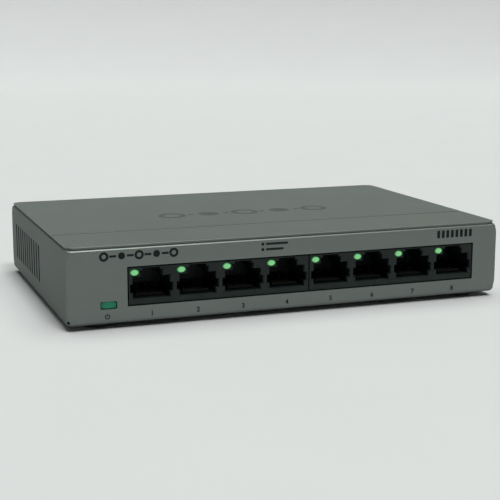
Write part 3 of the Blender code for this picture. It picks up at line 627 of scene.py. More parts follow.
def plastic_look(name, colour, lighter):
    """Moulded black plastic with a fine spark-eroded grain."""
    look = Look(name, colour, 0.42, Specular_IOR_Level=0.3)
    look.tint(look.noise(6.0, 3.0), (0.35, 0.7), lighter)
    look.tint(look.edges(0.15), (0.0, 1.0), lighter, 0.8)
    look.gloss(0.36, 0.52, 0.6, 2.0)
    look.emboss(look.cells(0.16), 0.01, 0.6)
    look.grain(0.01, 0.5, 1.6, 2.0)
    return look.material


def rubber_look():
    """Matt rubber, dusty in patches."""
    look = Look("foot_rubber", (0.017, 0.017, 0.018), 0.85, Specular_IOR_Level=0.3)
    look.tint(look.noise(1.8, 4.0), (0.45, 0.75), (0.034, 0.033, 0.032))
    look.gloss(0.78, 0.95, 0.8, 2.0)
    look.grain(0.02, 0.7, 0.22, 2.0)
    return look.material


def zinc_look():
    """Bright zinc plating: a crystal spangle with a faint yellow cast."""
    look = Look("zinc_plate", (0.56, 0.56, 0.55), 0.3, 1.0)
    look.tint(look.cells(0.5), (0.1, 0.8), (0.42, 0.43, 0.44))
    look.tint(look.noise(1.4, 3.0), (0.5, 0.75), (0.55, 0.50, 0.40), 0.6)
    look.gloss(0.22, 0.42, 0.3, 3.0)
    look.grain(0.006, 0.6, 0.12, 2.0, (1.0, 1.0, 6.0))
    return look.material


def metal_look(name, colour, darker, roughness, stretch):
    """Plated or extruded metal with drawing marks along one axis."""
    look = Look(name, colour, roughness, 1.0)
    look.tint(look.noise(0.5, 3.0, stretch), (0.35, 0.7), darker)
    look.gloss(roughness - 0.08, roughness + 0.12, 0.35, 3.0, stretch)
    look.grain(0.006, 0.5, 0.14, 2.0, stretch)
    return look.material


def lamp_look():
    """A lit green lamp: bright behind the middle of its dome, deep green at its rim."""
    look = Look("lamp_green", (0.02, 0.10, 0.04), 0.25, Specular_IOR_Level=0.3)
    shine = look.glow(LAMP_HALF_W, LAMP_HALF_H)
    grain = look.noise(0.5, 2.0)
    look.light(shine, (0.06, 0.36), (0.006, 0.09, 0.02), (0.19, 0.48, 0.2))
    look.tint(grain, (0.4, 0.7), (0.03, 0.14, 0.06))
    look.vary("Roughness", grain, NOISE_MIDDLE, (0.2, 0.34))
    return look.material


def window_look():
    """The power window: a dim green glow from the lamp behind it, brightest over the lamp and fading at the
    rim into painted shade along the window's edges.
    """
    look = Look("power_window", (0.004, 0.05, 0.028), 0.3, Specular_IOR_Level=0.25)
    shine = look.glow(LENS_HOLE_W * 0.6, LENS_HOLE_H * 0.7)
    # The glow falls to near black at the rim: lamp light in the middle, painted shade at the window's edges.
    look.light(shine, (0.0, 0.55), (0.0, 0.008, 0.005), (0.006, 0.085, 0.045))
    look.gloss(0.24, 0.4, 0.4, 2.0)
    look.grain(0.01, 0.5, 0.5, 2.0, (1.0, 1.0, 3.0))
    return look.material


def ink_look(name, colour, roughness):
    """Screen-printed ink, thin and slightly broken."""
    look = Look(name, colour, roughness, Specular_IOR_Level=0.12)
    look.tint(look.noise(0.25, 3.0), (0.55, 0.8), tuple(1.6 * part for part in colour), 0.6)
    look.gloss(roughness - 0.06, roughness + 0.1, 0.4, 2.0)
    look.grain(0.004, 0.5, 0.12, 2.0)
    return look.material


def film_look():
    """White label film with a faint fibre and slightly yellow patches."""
    look = Look("label_film", (0.60, 0.61, 0.60), 0.45)
    look.tint(look.noise(9.0, 3.0), (0.4, 0.75), (0.55, 0.55, 0.52))
    look.tint(look.noise(0.3, 3.0, (1.0, 5.0, 1.0)), (0.5, 0.75), (0.66, 0.66, 0.65), 0.6)
    look.gloss(0.38, 0.55, 0.5, 3.0)
    look.grain(0.008, 0.6, 0.2, 3.0, (1.0, 4.0, 1.0))
    return look.material


def board_look():
    """Green solder mask over copper tracks, with tinned pads."""
    look = Look("solder_mask", (0.010, 0.085, 0.035), 0.35)
    bricks = look.add("TexBrick", Scale=1.0 / MM, Brick_Width=5.2, Row_Height=0.9, Mortar_Size=0.2,
                      Mortar_Smooth=0.3, Vector=look.place)
    tracks = bricks.outputs["Fac"]
    look.tint(tracks, (0.0, 1.0), (0.022, 0.150, 0.060))
    look.tint(look.cells(4.2), (0.13, 0.10), (0.42, 0.40, 0.36))
    look.tint(look.noise(14.0, 3.0), (0.4, 0.7), (0.014, 0.10, 0.045), 0.5)
    look.gloss(0.28, 0.45, 0.7, 3.0)
    look.emboss(tracks, 0.03, 0.6)
    return look.material


def epoxy_look(name, lead_top):
    """Sand-textured black epoxy; below lead_top, in metres of the frame, the leads are tinned."""
    look = Look(name, (0.020, 0.020, 0.022), 0.6)
    look.tint(look.noise(0.18, 2.0), (0.45, 0.7), (0.036, 0.036, 0.038))
    step = (lead_top + 0.02 * MM, lead_top - 0.02 * MM)
    look.tint(look.height(), step, (0.58, 0.57, 0.54))
    look.vary("Metallic", look.height(), step, (0.0, 1.0))
    look.gloss(0.45, 0.66, 0.4, 2.0)
    look.grain(0.01, 0.7, 0.1, 2.0)
    return look.material


def grainy_look(name, colour, other, roughness, size, **others):
    """A plain industrial surface with a fine grain and broader patches."""
    look = Look(name, colour, roughness, **others)
    look.tint(look.noise(size, 3.0), (0.4, 0.7), other)
    look.tint(look.noise(size * 12, 2.0), (0.4, 0.7), other, 0.5)
    look.gloss(roughness - 0.08, roughness + 0.08, size * 2, 2.0)
    look.grain(0.01, 0.6, size * 0.6, 2.0)
    return look.material


def floor_look():
    look = Look("studio_floor", (0.466, 0.463, 0.477), 0.75, Specular_IOR_Level=0.2)
    look.tint(look.noise(60.0, 3.0), (0.35, 0.65), (0.472, 0.470, 0.483))
    look.grain(0.02, 0.2, 2.0, 2.0)
    return look.material


# Case

def tray_rings():
    rings = []
    for turn in quarter_turns():
        rings.append(case_ring(BASE_BEND * (1 - sin(turn)), BASE_BEND * (1 - cos(turn))))
    rings.append(case_ring(0.0, CORNER_FLARE_H))
    rings.append(case_ring(0.0, WALL_TOP - CORNER_TOP_FLARE_H))
    for turn in quarter_turns():
        rings.append(case_ring(SHOULDER_R * (1 - cos(turn)), WALL_TOP - SHOULDER_R * (1 - sin(turn))))
    rings.append(plan_ring(SHEET, INNER_CORNER_R, WALL_TOP))
    rings.append(plan_ring(SHEET, INNER_CORNER_R, CORNER_FLARE_H))
    inner_bend = BASE_BEND - SHEET
    for turn in reversed(quarter_turns()):
        rings.append(case_ring(SHEET + inner_bend * (1 - sin(turn)), SHEET + inner_bend * (1 - cos(turn))))
    return rings


def front_openings(cutter):
    # The walls of the window and of the lens hole take slot 1, a near-black paint: painted shade in these
    # openings.
    window = rectangle(BLOCK_LOW.x - WINDOW_GAP, BLOCK_LOW.z - WINDOW_GAP,
                       case_box(BLOCKS[1])[1].x + WINDOW_GAP, BLOCK_HIGH.z + WINDOW_GAP)
    add_prism(cutter, window, "Y", -CUT, CUT, 1)
    lens_hole = rounded_rectangle(LENS_HOLE_W / 2, LENS_HOLE_H / 2, LENS_R, (LENS, POWER_Z))
    add_prism(cutter, lens_hole, "Y", -CUT, CUT, 1)
    for side, out in ((0.0, -1.0), (CASE_W, 1.0)):
        inwards = Vector((-out, 1.0, 0.3))
        corner = Vector((side - out * RELIEF_IN, RELIEF_IN, RELIEF_Z))
        place = Matrix.Translation(corner) @ inwards.to_track_quat("Z", "Y").to_matrix().to_4x4()
        bmesh.ops.create_cone(cutter, cap_ends=True, segments=RELIEF_SIDES, radius1=RELIEF_R,
                              radius2=RELIEF_R, depth=RELIEF_L, matrix=place)


def side_openings(cutter):
    # The walls of the vents take slot 1, a near-black paint: painted shade inside the vents.
    for vent in range(VENTS):
        centre = (VENT_FIRST_Y + vent * VENT_PITCH, (VENT_LOW + VENT_HIGH) / 2)
        outline = rounded_rectangle(VENT_W / 2, (VENT_HIGH - VENT_LOW) / 2, VENT_END_R, centre, 3)
        for side in (0.0, CASE_W):
            add_prism(cutter, outline, "X", side - CUT, side + CUT, 1)


def keyhole_outline(centre_x):
    """A round head hole with a slot that runs to the rear."""
    outline = [(centre_x - KEYHOLE_SLOT_HALF_W, KEYHOLE_Y + KEYHOLE_SLOT_L),
               (centre_x + KEYHOLE_SLOT_HALF_W, KEYHOLE_Y + KEYHOLE_SLOT_L)]
    meet = asin(KEYHOLE_SLOT_HALF_W / KEYHOLE_HEAD_R)
    for step in range(ROUND_SIDES + 1):
        turn = pi / 2 - meet - 2 * (pi - meet) * step / ROUND_SIDES
        outline.append((centre_x + KEYHOLE_HEAD_R * cos(turn), KEYHOLE_Y + KEYHOLE_HEAD_R * sin(turn)))
    return outline


def base_openings(cutter):
    for centre_x in (KEYHOLE_X, CASE_W - KEYHOLE_X):
        add_prism(cutter, keyhole_outline(centre_x), "Z", -CUT, SHEET + CUT)
    hole = ((SCREW_HOLE_R, -CUT), (SCREW_HOLE_R, BOARD_TOP))
    hollow = ((BOSS_R + BOSS_FLARE - SHEET, -CUT), (BOSS_R + BOSS_FLARE - SHEET, 0.0),
              (BOSS_R - SHEET, BOARD_BOTTOM - GAP - SHEET))
    turn_at(cutter, BOARD_SCREWS, "Z", hole, hollow)


def rear_openings(cutter):
    hole = ((DC_HOLE_R, CASE_D - CUT), (DC_HOLE_R, CASE_D + CUT))
    add_turned(cutter, hole, "Y", TURNED_SIDES, (INLET.x, INLET.z))
    lock = rounded_rectangle(LOCK_HALF_W, LOCK_HALF_H, LOCK_HALF_H / 2, (LOCK_X, LOCK_Z))
    add_prism(cutter, lock, "Y", CASE_D - CUT, CASE_D + CUT)
    sink = ((SCREW_HOLE_R, CASE_D - DIMPLE_D - CUT), (SCREW_HOLE_R, CASE_D - FLAT_HEAD_H - GAP / 2),
            (FLAT_HEAD_R + GAP, CASE_D), (FLAT_HEAD_R + GAP, CASE_D + CUT))
    turn_at(cutter, COVER_SCREWS, "Y", sink)


def make_tray(paint, edge):
    """The folded tray, with its bosses, dimples, ears and every opening."""
    shape = bmesh.new()
    add_loft(shape, tray_rings())
    # The second material paints the shade on the walls of the openings.
    tray = build("tray_shell", shape, paint, edge, slot="grey_paint", replaces=["base_tray"])
    formed = bmesh.new()
    boss_top = BOARD_BOTTOM - GAP
    boss = ((BOSS_R + BOSS_FLARE, SHEET / 2), (BOSS_R + BOSS_FLARE / 2, SHEET + FORM_R),
            (BOSS_R + FORM_R / 2, boss_top - FORM_R), (BOSS_R - FORM_R, boss_top))
    turn_at(formed, BOARD_SCREWS, "Z", boss)
    dimple = ((DIMPLE_R - DIMPLE_D / 2 - FORM_R, CASE_D - SHEET - DIMPLE_D),
              (DIMPLE_R - FORM_R, CASE_D - SHEET - FORM_R), (DIMPLE_R, CASE_D - SHEET / 2))
    turn_at(formed, COVER_SCREWS, "Y", dimple)
    for centre in (EAR_X, CASE_W - EAR_X):
        add_box(formed, (centre - EAR_HALF_W, SHEET / 2, EAR_LOW),
                (centre + EAR_HALF_W, SHEET + EAR_REACH, EAR_HIGH))
    combine(tray, "UNION", formed)
    for openings in (front_openings, side_openings, base_openings, rear_openings):
        cutter = bmesh.new()
        openings(cutter)
        combine(tray, "DIFFERENCE", cutter, overlapping=True)
    soften(tray, TRAY_EDGE)


def lid_rings():
    """The lid: rounded edges that thin below, and the flange under them."""
    plate_bottom = CASE_H - LID_SHEET
    outer = SHEET + GAP
    inner = outer + LID_SHEET
    low = plate_bottom - LID_FLANGE_H
    rings = []
    for turn in quarter_turns():
        shrunk = LID_EDGE_R * (1 - sin(turn))
        z = CASE_H - LID_EDGE_R * (1 - cos(turn))
        rings.append(plan_ring(LID_SETBACK + shrunk, LID_CORNER_R - shrunk, z))
    rings.append(plan_ring(LID_SETBACK + LID_EDGE_IN, LID_CORNER_R - LID_EDGE_IN, plate_bottom))
    for inset, z in ((outer, plate_bottom), (outer, low), (inner, low), (inner, plate_bottom)):
        rings.append(plan_ring(inset, INNER_CORNER_R - (inset - outer), z))
    return rings


def make_lid(paint, crease_painted_shade):
    shape = bmesh.new()
    add_loft(shape, lid_rings())
    lid = build("lid_shell", shape, paint, crease_painted_shade, slot="grey_paint", replaces=["top_cover"])
    flange_low = CASE_H - LID_SHEET - LID_FLANGE_H
    tab_front = CASE_D - SHEET - DIMPLE_D - GAP - LID_SHEET
    tab_back = tab_front + LID_SHEET
    flange_middle = CASE_D - SHEET - GAP - LID_SHEET / 2
    tab_top = flange_low + LID_SHEET
    tab = [(tab_front, LID_TAB_LOW), (tab_back, LID_TAB_LOW), (tab_back, flange_low + FORM_R),
           (flange_middle, flange_low + FORM_R), (flange_middle, tab_top), (tab_front, tab_top)]
    tabs = bmesh.new()
    for node in COVER_SCREWS:
        centre = middle(node).x
        add_prism(tabs, tab, "X", centre - LID_TAB_HALF_W, centre + LID_TAB_HALF_W)
    combine(lid, "UNION", tabs)
    cuts = bmesh.new()
    turn_at(cuts, COVER_SCREWS, "Y", ((SCREW_HOLE_R, tab_front - CUT), (SCREW_HOLE_R, CASE_D - CUT)))
    for centre in (EAR_X, CASE_W - EAR_X):
        add_box(cuts, (centre - EAR_HALF_W - GAP, 0.0, flange_low - CUT),
                (centre + EAR_HALF_W + GAP, SHEET + EAR_REACH + GAP, EAR_HIGH + GAP))
    # The crease's faces take slot 1, a near-black paint: painted shade in the groove.
    half = CREASE_W / 2
    crease = rectangle(CREASE_Y - half, CASE_H - CREASE_DEPTH, CREASE_Y + half, CASE_H + CREASE_DEPTH)
    add_prism(cuts, crease, "X", CREASE_INSET, CASE_W - CREASE_INSET, 1)
    combine(lid, "DIFFERENCE", cuts)
    soften(lid, LID_EDGE)


def make_feet(rubber):
    """Turned rubber feet with a rounded rim, a dished tread and a waist under the base."""
    low, high = case_box("foot_front_left")
    radius = (high.x - low.x) / 2
    height = high.z - low.z
    shape = bmesh.new()
    profile = ((radius * 0.7, 0.12), (radius * 0.74, 0.0), (radius * 0.88, 0.0), (radius - 0.12, 0.1),
               (radius, 0.35), (radius, height - 0.5), (radius - 0.12, height - 0.3), (radius - 0.12, height))
    add_turned(shape, profile, "Z", FINE_SIDES)
    nodes = ["foot_" + place for place in ("front_left", "front_right", "rear_left", "rear_right")]
    copies = [("rubber_" + node, node, (middle(node).x, middle(node).y, FLOOR_Z), CASE) for node in nodes]
    build_alike(shape, [rubber], "foot_rubber", copies)


# Screws

def thread_rings(start, end):
    """(radius, height) pairs of a rolled thread from one height to a lower one."""
    turns = int((start - end) / THREAD_PITCH)
    rings = []
    for turn in range(turns):
        height = start - turn * THREAD_PITCH
        rings += [(SCREW_R, height - 0.1), (SCREW_R - THREAD_DEPTH, height - THREAD_PITCH / 2)]
    return rings


def add_recess(shape, axis, face):
    """A cross recess that narrows as it goes in."""
    for half_u, half_v in ((CROSS_L / 2, CROSS_W / 2), (CROSS_W / 2, CROSS_L / 2)):
        levels = []
        for along, share in ((face - CROSS_DEPTH, 1 - CROSS_TAPER), (face + CROSS_DEPTH, 1 + CROSS_TAPER)):
            bar = rectangle(-half_u * share, -half_v * share, half_u * share, half_v * share)
            levels.append((bar, along))
        add_levels(shape, levels, axis)


def make_cover_screws(zinc):
    """Flat-head cover screws, their heads flush in the dimples."""
    end = case_box(COVER_SCREWS[0])[0].y - case_box(COVER_SCREWS[0])[1].y
    shape = bmesh.new()
    profile = [(FLAT_HEAD_R - 0.12, 0.0), (FLAT_HEAD_R, -0.1), (FLAT_HEAD_R, -0.2), (SCREW_R, -FLAT_HEAD_H)]
    profile += thread_rings(-FLAT_HEAD_H - 0.1, end + 0.5) + [(SCREW_R - 0.3, end)]
    add_turned(shape, profile, "Y", TURNED_SIDES)
    make_screws("flush_screw_", shape, "Y", 0.0, COVER_SCREWS, zinc)


def make_board_screws(zinc):
    """Pan-head screws that hold the board to its bosses."""
    low, high = case_box(BOARD_SCREWS[0])
    top = high.z - low.z
    shape = bmesh.new()
    profile = [(SCREW_R - 0.3, 0.0)] + thread_rings(top - PAN_HEAD_H - 0.1, 0.4)[::-1]
    under = top - PAN_HEAD_H
    profile += [(SCREW_R, under - 0.05), (SCREW_R, under), (PAN_HEAD_R - 0.1, under),
                (PAN_HEAD_R, under + 0.15), (PAN_HEAD_R, top - 0.8), (PAN_HEAD_R - 0.4, top - 0.25),
                (PAN_HEAD_R - 1.0, top)]
    add_turned(shape, profile, "Z", TURNED_SIDES)
    make_screws("pan_screw_", shape, "Z", top, BOARD_SCREWS, zinc)


def make_screws(prefix, shape, axis, face, nodes, zinc):
    copies = []
    for number, node in enumerate(nodes, start=1):
        low, high = case_box(node)
        at = (low + high) / 2
        if axis == "Y":
            at.y = high.y
        else:
            at.z = low.z
        copies.append((prefix + str(number), node, at, CASE))
    recess = bmesh.new()
    add_recess(recess, axis, face)
    build_alike(shape, [zinc], "zinc_plate", copies, recess)


# Jacks

def port_outline(centre):
    right = [(centre + x, z) for x, z in PORT_RIGHT]
    left = [(centre - x, z) for x, z in reversed(PORT_RIGHT)]
    return right + left


def block_outline(low, high, step):
    """A jack block from the front; it steps in where it stands in the window's edges."""
    left = low.x + (step if low.x < CASE_W / 2 - PORT_PITCH else 0.0)
    right = high.x - (step if high.x > CASE_W / 2 + 2 * PORT_PITCH else 0.0)
    half_h = (high.z - low.z) / 2 - step
    return rounded_rectangle((right - left) / 2, half_h, 0.2, ((left + right) / 2, (low.z + high.z) / 2))


def make_jack_block(node, ports, lamps, plastic, hollow):
    """One moulded block of four jacks, with flared mouths and lamp passages."""
    low, high = case_box(node)
    shape = bmesh.new()
    front = block_outline(low, high, BLOCK_STEP)
    full = block_outline(low, high, 0.0)
    levels = ((front, low.y), (front, SHEET + BLOCK_STEP), (full, SHEET + BLOCK_STEP), (full, high.y))
    add_levels(shape, levels, "Y")
    block = build("moulded_" + node, shape, plastic, hollow, slot="black_plastic", replaces=[node])
    cavities = bmesh.new()
    passages = bmesh.new()
    for centre, lamp in zip(ports, lamps):
        inner = port_outline(centre)
        flared = grown(inner, MOUTH_FLARE)
        mouth = ((flared, low.y - CUT), (flared, low.y), (inner, low.y + 2 * MOUTH_FLARE))
        add_levels(cavities, mouth, "Y")
        # The cavity walls take slot 1, a darker, bluer plastic: painted shade inside each port.
        add_prism(cavities, inner, "Y", low.y + MOUTH_FLARE, low.y + PORT_DEPTH, 1)
        passage = round_outline(LAMP_HALF_W + LAMP_FINE_GAP, LAMP_HALF_H + LAMP_FINE_GAP, ROUND_SIDES,
                                (lamp, LAMP_Z))
        add_prism(passages, passage, "Y", low.y - CUT, high.y + CUT)
    combine(block, "DIFFERENCE", cavities, overlapping=True)
    combine(block, "DIFFERENCE", passages)
    soften(block, BLOCK_EDGE)


def make_combs(plastic):
    """The black comb behind the mouth of each port, over which its springs rise."""
    for number, centre in zip(PORTS, PORT_X):
        shape = bmesh.new()
        for gap in range(SPRINGS + 1):
            x = centre + (gap - SPRINGS / 2) * SPRING_PITCH
            add_box(shape, (x - COMB_T / 2, COMB_FRONT, PORT_FLOOR - COMB_T),
                    (x + COMB_T / 2, BLOCK_LOW.y + PORT_DEPTH + COMB_T, COMB_TOP))
        # The combs take the darker plastic that paints the shade inside the ports.
        comb = build(f"port_{number}_comb", shape, plastic, slot="black_plastic")
        soften(comb, COMB_EDGE)


def make_springs(gold, plastic):
    """Eight gold wires on one black carrier in each port; they flex at the carrier."""
    shape = bmesh.new()
    corners = ((-1, -1), (0.6, -1), (1, -0.5), (1, 0.7), (0.6, 1), (-0.4, 1), (-1, 0.2))
    carrier = [(BAR_HALF * y, BAR_HALF * z) for y, z in corners]
    add_prism(shape, carrier, "X", -BAR_HALF_W, BAR_HALF_W, 1)
    for spring in range(SPRINGS):
        x = (spring - (SPRINGS - 1) / 2) * SPRING_PITCH
        path = []
        for step in range(SPRING_STEPS + 1):
            share = step / SPRING_STEPS
            y = SPRING_ROOT + (SPRING_L - SPRING_ROOT - SPRING_R) * share
            path.append((x, y, SPRING_RISE * share + SPRING_SAG * sin(2 * pi * share)))
        add_tube(shape, path, SPRING_R)
    copies = []
    for number, centre in zip(PORTS, PORT_X):
        at = (centre, SPRING_PIVOT_Y, SPRING_PIVOT_Z)
        port = f"port_{number}_"
        copies.append((port + "wires", port + "contacts", at, port + "springs"))
    build_alike(shape, [gold, plastic], "contact_gold", copies)


def lead_path(x, foot):
    """A lead out of the back of a lamp, bent down to the board."""
    path = [(x, LEAD_START, 0.0), (x, LEAD_TURN_Y - LEAD_BEND_R, 0.0)]
    for turn in quarter_turns()[1:]:
        path.append((x, LEAD_TURN_Y - LEAD_BEND_R + LEAD_BEND_R * sin(turn), -LEAD_BEND_R * (1 - cos(turn))))
    path.append((x, LEAD_TURN_Y, foot))
    return path


def make_lamps(glow, nickel):
    """Oval lamps with a domed face, and their two leads."""
    shape = bmesh.new()
    levels = []
    for share, along in LAMP_PROFILE:
        levels.append((round_outline(LAMP_HALF_W * share, LAMP_HALF_H * share, ROUND_SIDES), along))
    add_levels(shape, levels, "Y")
    foot = case_box("port_1_lamp")[0].z - LAMP_Z
    for x in (-LEAD_SPACING / 2, LEAD_SPACING / 2):
        add_tube(shape, lead_path(x, foot), LEAD_R, 1)
    copies = []
    for number, lamp in zip(PORTS, LAMP_X):
        copies.append((f"port_{number}_light", f"port_{number}_lamp", (lamp, BLOCK_LOW.y, LAMP_Z), CASE))
    build_alike(shape, [glow, nickel], "lamp_green", copies)


def make_power_window(window, clear):
    """The small window in the front wall with its flange, and the lamp behind it."""
    low, high = case_box("power_lens")
    shape = bmesh.new()
    half_w = LENS_HOLE_W / 2 - GAP
    half_h = LENS_HOLE_H / 2 - GAP
    face = rounded_rectangle(half_w - LENS_CHAMFER, half_h - LENS_CHAMFER, LENS_R - LENS_CHAMFER)
    full = rounded_rectangle(half_w, half_h, LENS_R)
    levels = ((face, LENS_SETBACK), (full, LENS_SETBACK + LENS_CHAMFER), (full, high.y - 0.3))
    add_levels(shape, levels, "Y")
    lens = build("power_window", shape, window, origin=(LENS, 0.0, POWER_Z), slot="power_green",
                 replaces=["power_lens"])
    flange = bmesh.new()
    add_box(flange, (low.x - LENS, SHEET + GAP, low.z - POWER_Z), (high.x - LENS, high.y, high.z - POWER_Z))
    combine(lens, "UNION", flange)
    soften(lens, LENS_EDGE)
    chip_low, chip_high = case_box("power_led")
    chip = bmesh.new()
    base = rectangle(chip_low.x, chip_low.y, chip_high.x, chip_high.y)
    top = rectangle(chip_low.x + 0.3, chip_low.y + 0.15, chip_high.x - 0.3, chip_high.y - 0.15)
    levels = ((base, chip_low.z), (base, chip_low.z + 0.7), (top, chip_low.z + 0.75), (top, chip_high.z))
    add_levels(chip, levels, "Z")
    soften(build("power_chip", chip, clear, slot="clear_led", replaces=["power_led"]), LENS_EDGE)


# Power inlet

def make_inlet(plastic, nickel):
    """The inlet: a moulded body with a chamfered nose, its centre pin and its leaf."""
    low, high = case_box("dc_jack_body")
    body_back = CASE_D - SHEET - GAP
    axis = (INLET.x, INLET.z)
    shape = bmesh.new()
    outline = rounded_rectangle((high.x - low.x) / 2, (high.z - low.z) / 2, 0.5,
                                ((high.x + low.x) / 2, (high.z + low.z) / 2))
    add_prism(shape, outline, "Y", low.y, body_back)
    body = build("inlet_body", shape, plastic, slot="black_plastic", replaces=["dc_jack_body"])
    nose = bmesh.new()
    tip = CASE_D - DC_NOSE_BACK
    profile = ((DC_NOSE_R, body_back - CUT), (DC_NOSE_R, tip - DC_NOSE_CHAMFER),
               (DC_NOSE_R - DC_NOSE_CHAMFER, tip))
    add_turned(nose, profile, "Y", FINE_SIDES, axis)
    combine(body, "UNION", nose)
    bore = bmesh.new()
    bore_end = CASE_D - DC_BORE_DEPTH
    add_turned(bore, ((DC_BORE_R, bore_end), (DC_BORE_R, tip - DC_CHAMFER), (DC_BORE_R + DC_CHAMFER, tip),
                      (DC_BORE_R + DC_CHAMFER, CASE_D + CUT)), "Y", FINE_SIDES, axis)
    combine(body, "DIFFERENCE", bore)
    passages = bmesh.new()
    pin_low, pin_high = case_box("dc_jack_pin")
    pin_r = (pin_high.x - pin_low.x) / 2
    add_turned(passages, ((pin_r + GAP, low.y - CUT), (pin_r + GAP, bore_end + CUT)), "Y", ROUND_SIDES, axis)
    combine(body, "DIFFERENCE", passages)
    slot = bmesh.new()
    add_box(slot, (INLET.x - DC_SLOT_HALF_W, low.y - CUT, DC_SLOT_LOW),
            (INLET.x + DC_SLOT_HALF_W, CASE_D - DC_SLOT_BACK, INLET.z - DC_BORE_R + DC_SLOT_INTO_BORE))
    combine(body, "DIFFERENCE", slot)
    soften(body, DC_EDGE)
    pin = bmesh.new()
    profile = ((pin_r * 0.8, pin_low.y), (pin_r, pin_low.y + 0.3), (pin_r, pin_high.y - 0.6),
               (pin_r * 0.85, pin_high.y - 0.25), (pin_r * 0.5, pin_high.y))
    add_turned(pin, profile, "Y", ROUND_SIDES, axis)
    build("inlet_pin", pin, nickel, slot="nickel_plate", replaces=["dc_jack_pin"])


# Print

def add_ink(shape, outline, axis):
    """A printed area on the front (Y) or on the top (Z)."""
    add_prism(shape, outline, axis, *PRINTED[axis])


def add_ring(shape, centre, outer, inner, axis, steps=ROUND_SIDES):
    """A printed ring, or a disc where the inner radius is 0."""
    rim = round_outline(outer, outer, steps, centre)
    if inner:
        hole = round_outline(inner, inner, steps, centre)
        add_band(shape, rim, hole, axis, *PRINTED[axis])
    else:
        add_ink(shape, rim, axis)


def add_chain(shape, box, links, radius, stroke, axis):
    """A generic mark: open rings and dots in a row, joined by short bars."""
    low_u, low_v, high_u, high_v = box
    centre_v = (low_v + high_v) / 2
    run = (high_u - low_u - 2 * radius) / (links - 1)
    for link in range(links):
        centre_u = low_u + radius + link * run
        inner = 0.0 if link % 2 else radius - stroke
        outer = radius * 0.75 if link % 2 else radius
        add_ring(shape, (centre_u, centre_v), outer, inner, axis)
        if link < links - 1:
            bar = rectangle(centre_u + radius * 1.15, centre_v - stroke * 0.45,
                            centre_u + run - radius * 1.15, centre_v + stroke * 0.45)
            add_ink(shape, bar, axis)


def add_row(shape, box, count, axis):
    """A generic mark: a row of small rounded squares."""
    low_u, low_v, high_u, high_v = box
    pitch = (high_u - low_u) / count
    half = (high_v - low_v) * 0.44
    centre_v = (low_v + high_v) / 2
    for index in range(count):
        centre_u = low_u + pitch * (index + 0.5)
        outline = rounded_rectangle(half * 0.42, half, half * 0.2, (centre_u, centre_v), 3)
        add_ink(shape, outline, axis)


def add_legend(shape):
    """Two rows of a dot and a bar."""
    low_x, low_z, high_x, high_z = LEGEND
    for row, share in ((low_z + 0.75, 0.8), (high_z - 0.6, 1.0)):
        add_ring(shape, (low_x + 0.5, row), 0.55, 0.0, "Y", 16)
        run = (high_x - low_x - 1.6) * share
        outline = rounded_rectangle(run / 2, 0.38, 0.3, (low_x + 1.6 + run / 2, row), 3)
        add_ink(shape, outline, "Y")


def add_power_icon(shape):
    """An open circle with a bar in its gap."""
    x, z = POWER_ICON
    outer = []
    inner = []
    for step in range(25):
        turn = radians(125) + radians(290) * step / 24
        outer.append((x + POWER_ICON_R * cos(turn), z + POWER_ICON_R * sin(turn)))
        inner.append((x + (POWER_ICON_R - STROKE) * cos(turn), z + (POWER_ICON_R - STROKE) * sin(turn)))
    add_ink(shape, outer + inner[::-1], "Y")
    bar = rectangle(x - STROKE / 2, z, x + STROKE / 2, z + POWER_ICON_R + 0.1)
    add_ink(shape, bar, "Y")


def make_front_print(ink):
    shape = bmesh.new()
    add_chain(shape, FRONT_MARK, *FRONT_CHAIN, "Y")
    add_row(shape, PORTS_MARK, len(PORTS), "Y")
    add_legend(shape)
    add_power_icon(shape)
    build("front_print", shape, ink)


def make_digits(ink):
    """The port numbers, printed below the jacks."""
    for port, centre in zip(PORTS, PORT_X):
        curve = bpy.data.curves.new(f"digit_{port}", "FONT")
        curve.body = str(port)
        curve.align_x = "CENTER"
        curve.align_y = "CENTER"
        curve.size = DIGIT_H * DIGIT_SCALE * MM
        curve.extrude = INK_T * MM / 2
        curve.offset = DIGIT_BOLD * MM
        curve.resolution_u = 4
        writing = new_object(f"digit_{port}_curve", curve)
        mesh = evaluated_mesh(writing)
        mesh.name = f"digit_{port}"
        bpy.data.objects.remove(writing)
        bpy.data.curves.remove(curve)
        mesh.transform(Matrix.Rotation(pi / 2, 4, "X"))
        mesh.materials.clear()
        mesh.materials.append(ink)
        show(f"digit_{port}", mesh, (centre, -INK_T / 2, DIGIT_Z))


def make_top_print(ink):
    shape = bmesh.new()
    add_chain(shape, TOP_MARK, *TOP_CHAIN, "Z")
    build("top_print", shape, ink)


def make_label(film, ink):
    """The rating label, which carries no text: only a printed border and generic bars."""
    low, high = case_box("rating_label")
    centre = ((low.x + high.x) / 2, (low.y + high.y) / 2)
    half_w = (high.x - low.x) / 2
    half_d = (high.y - low.y) / 2
    shape = bmesh.new()
    add_prism(shape, rounded_rectangle(half_w, half_d, 1.5, centre), "Z", low.z, high.z)
    build("label_sheet", shape, film, slot="label_film", replaces=["rating_label"])
    marks = bmesh.new()
    under = low.z - INK_T
    inset = LABEL_MARGIN + LABEL_LINE
    add_band(marks, rounded_rectangle(half_w - LABEL_MARGIN, half_d - LABEL_MARGIN, 1.0, centre),
             rounded_rectangle(half_w - inset, half_d - inset, 0.8, centre), "Z", under, low.z)
    for row in range(LABEL_BARS):
        run = (half_w - 8.0) * (1.0 - 0.13 * (row % 3))
        y = centre[1] + LABEL_BAR_PITCH * (LABEL_BARS // 2 - row)
        outline = rounded_rectangle(run, 0.45, 0.3, (centre[0], y), 3)
        add_prism(marks, outline, "Z", under, low.z)
    build("label_print", marks, ink)


# Stage

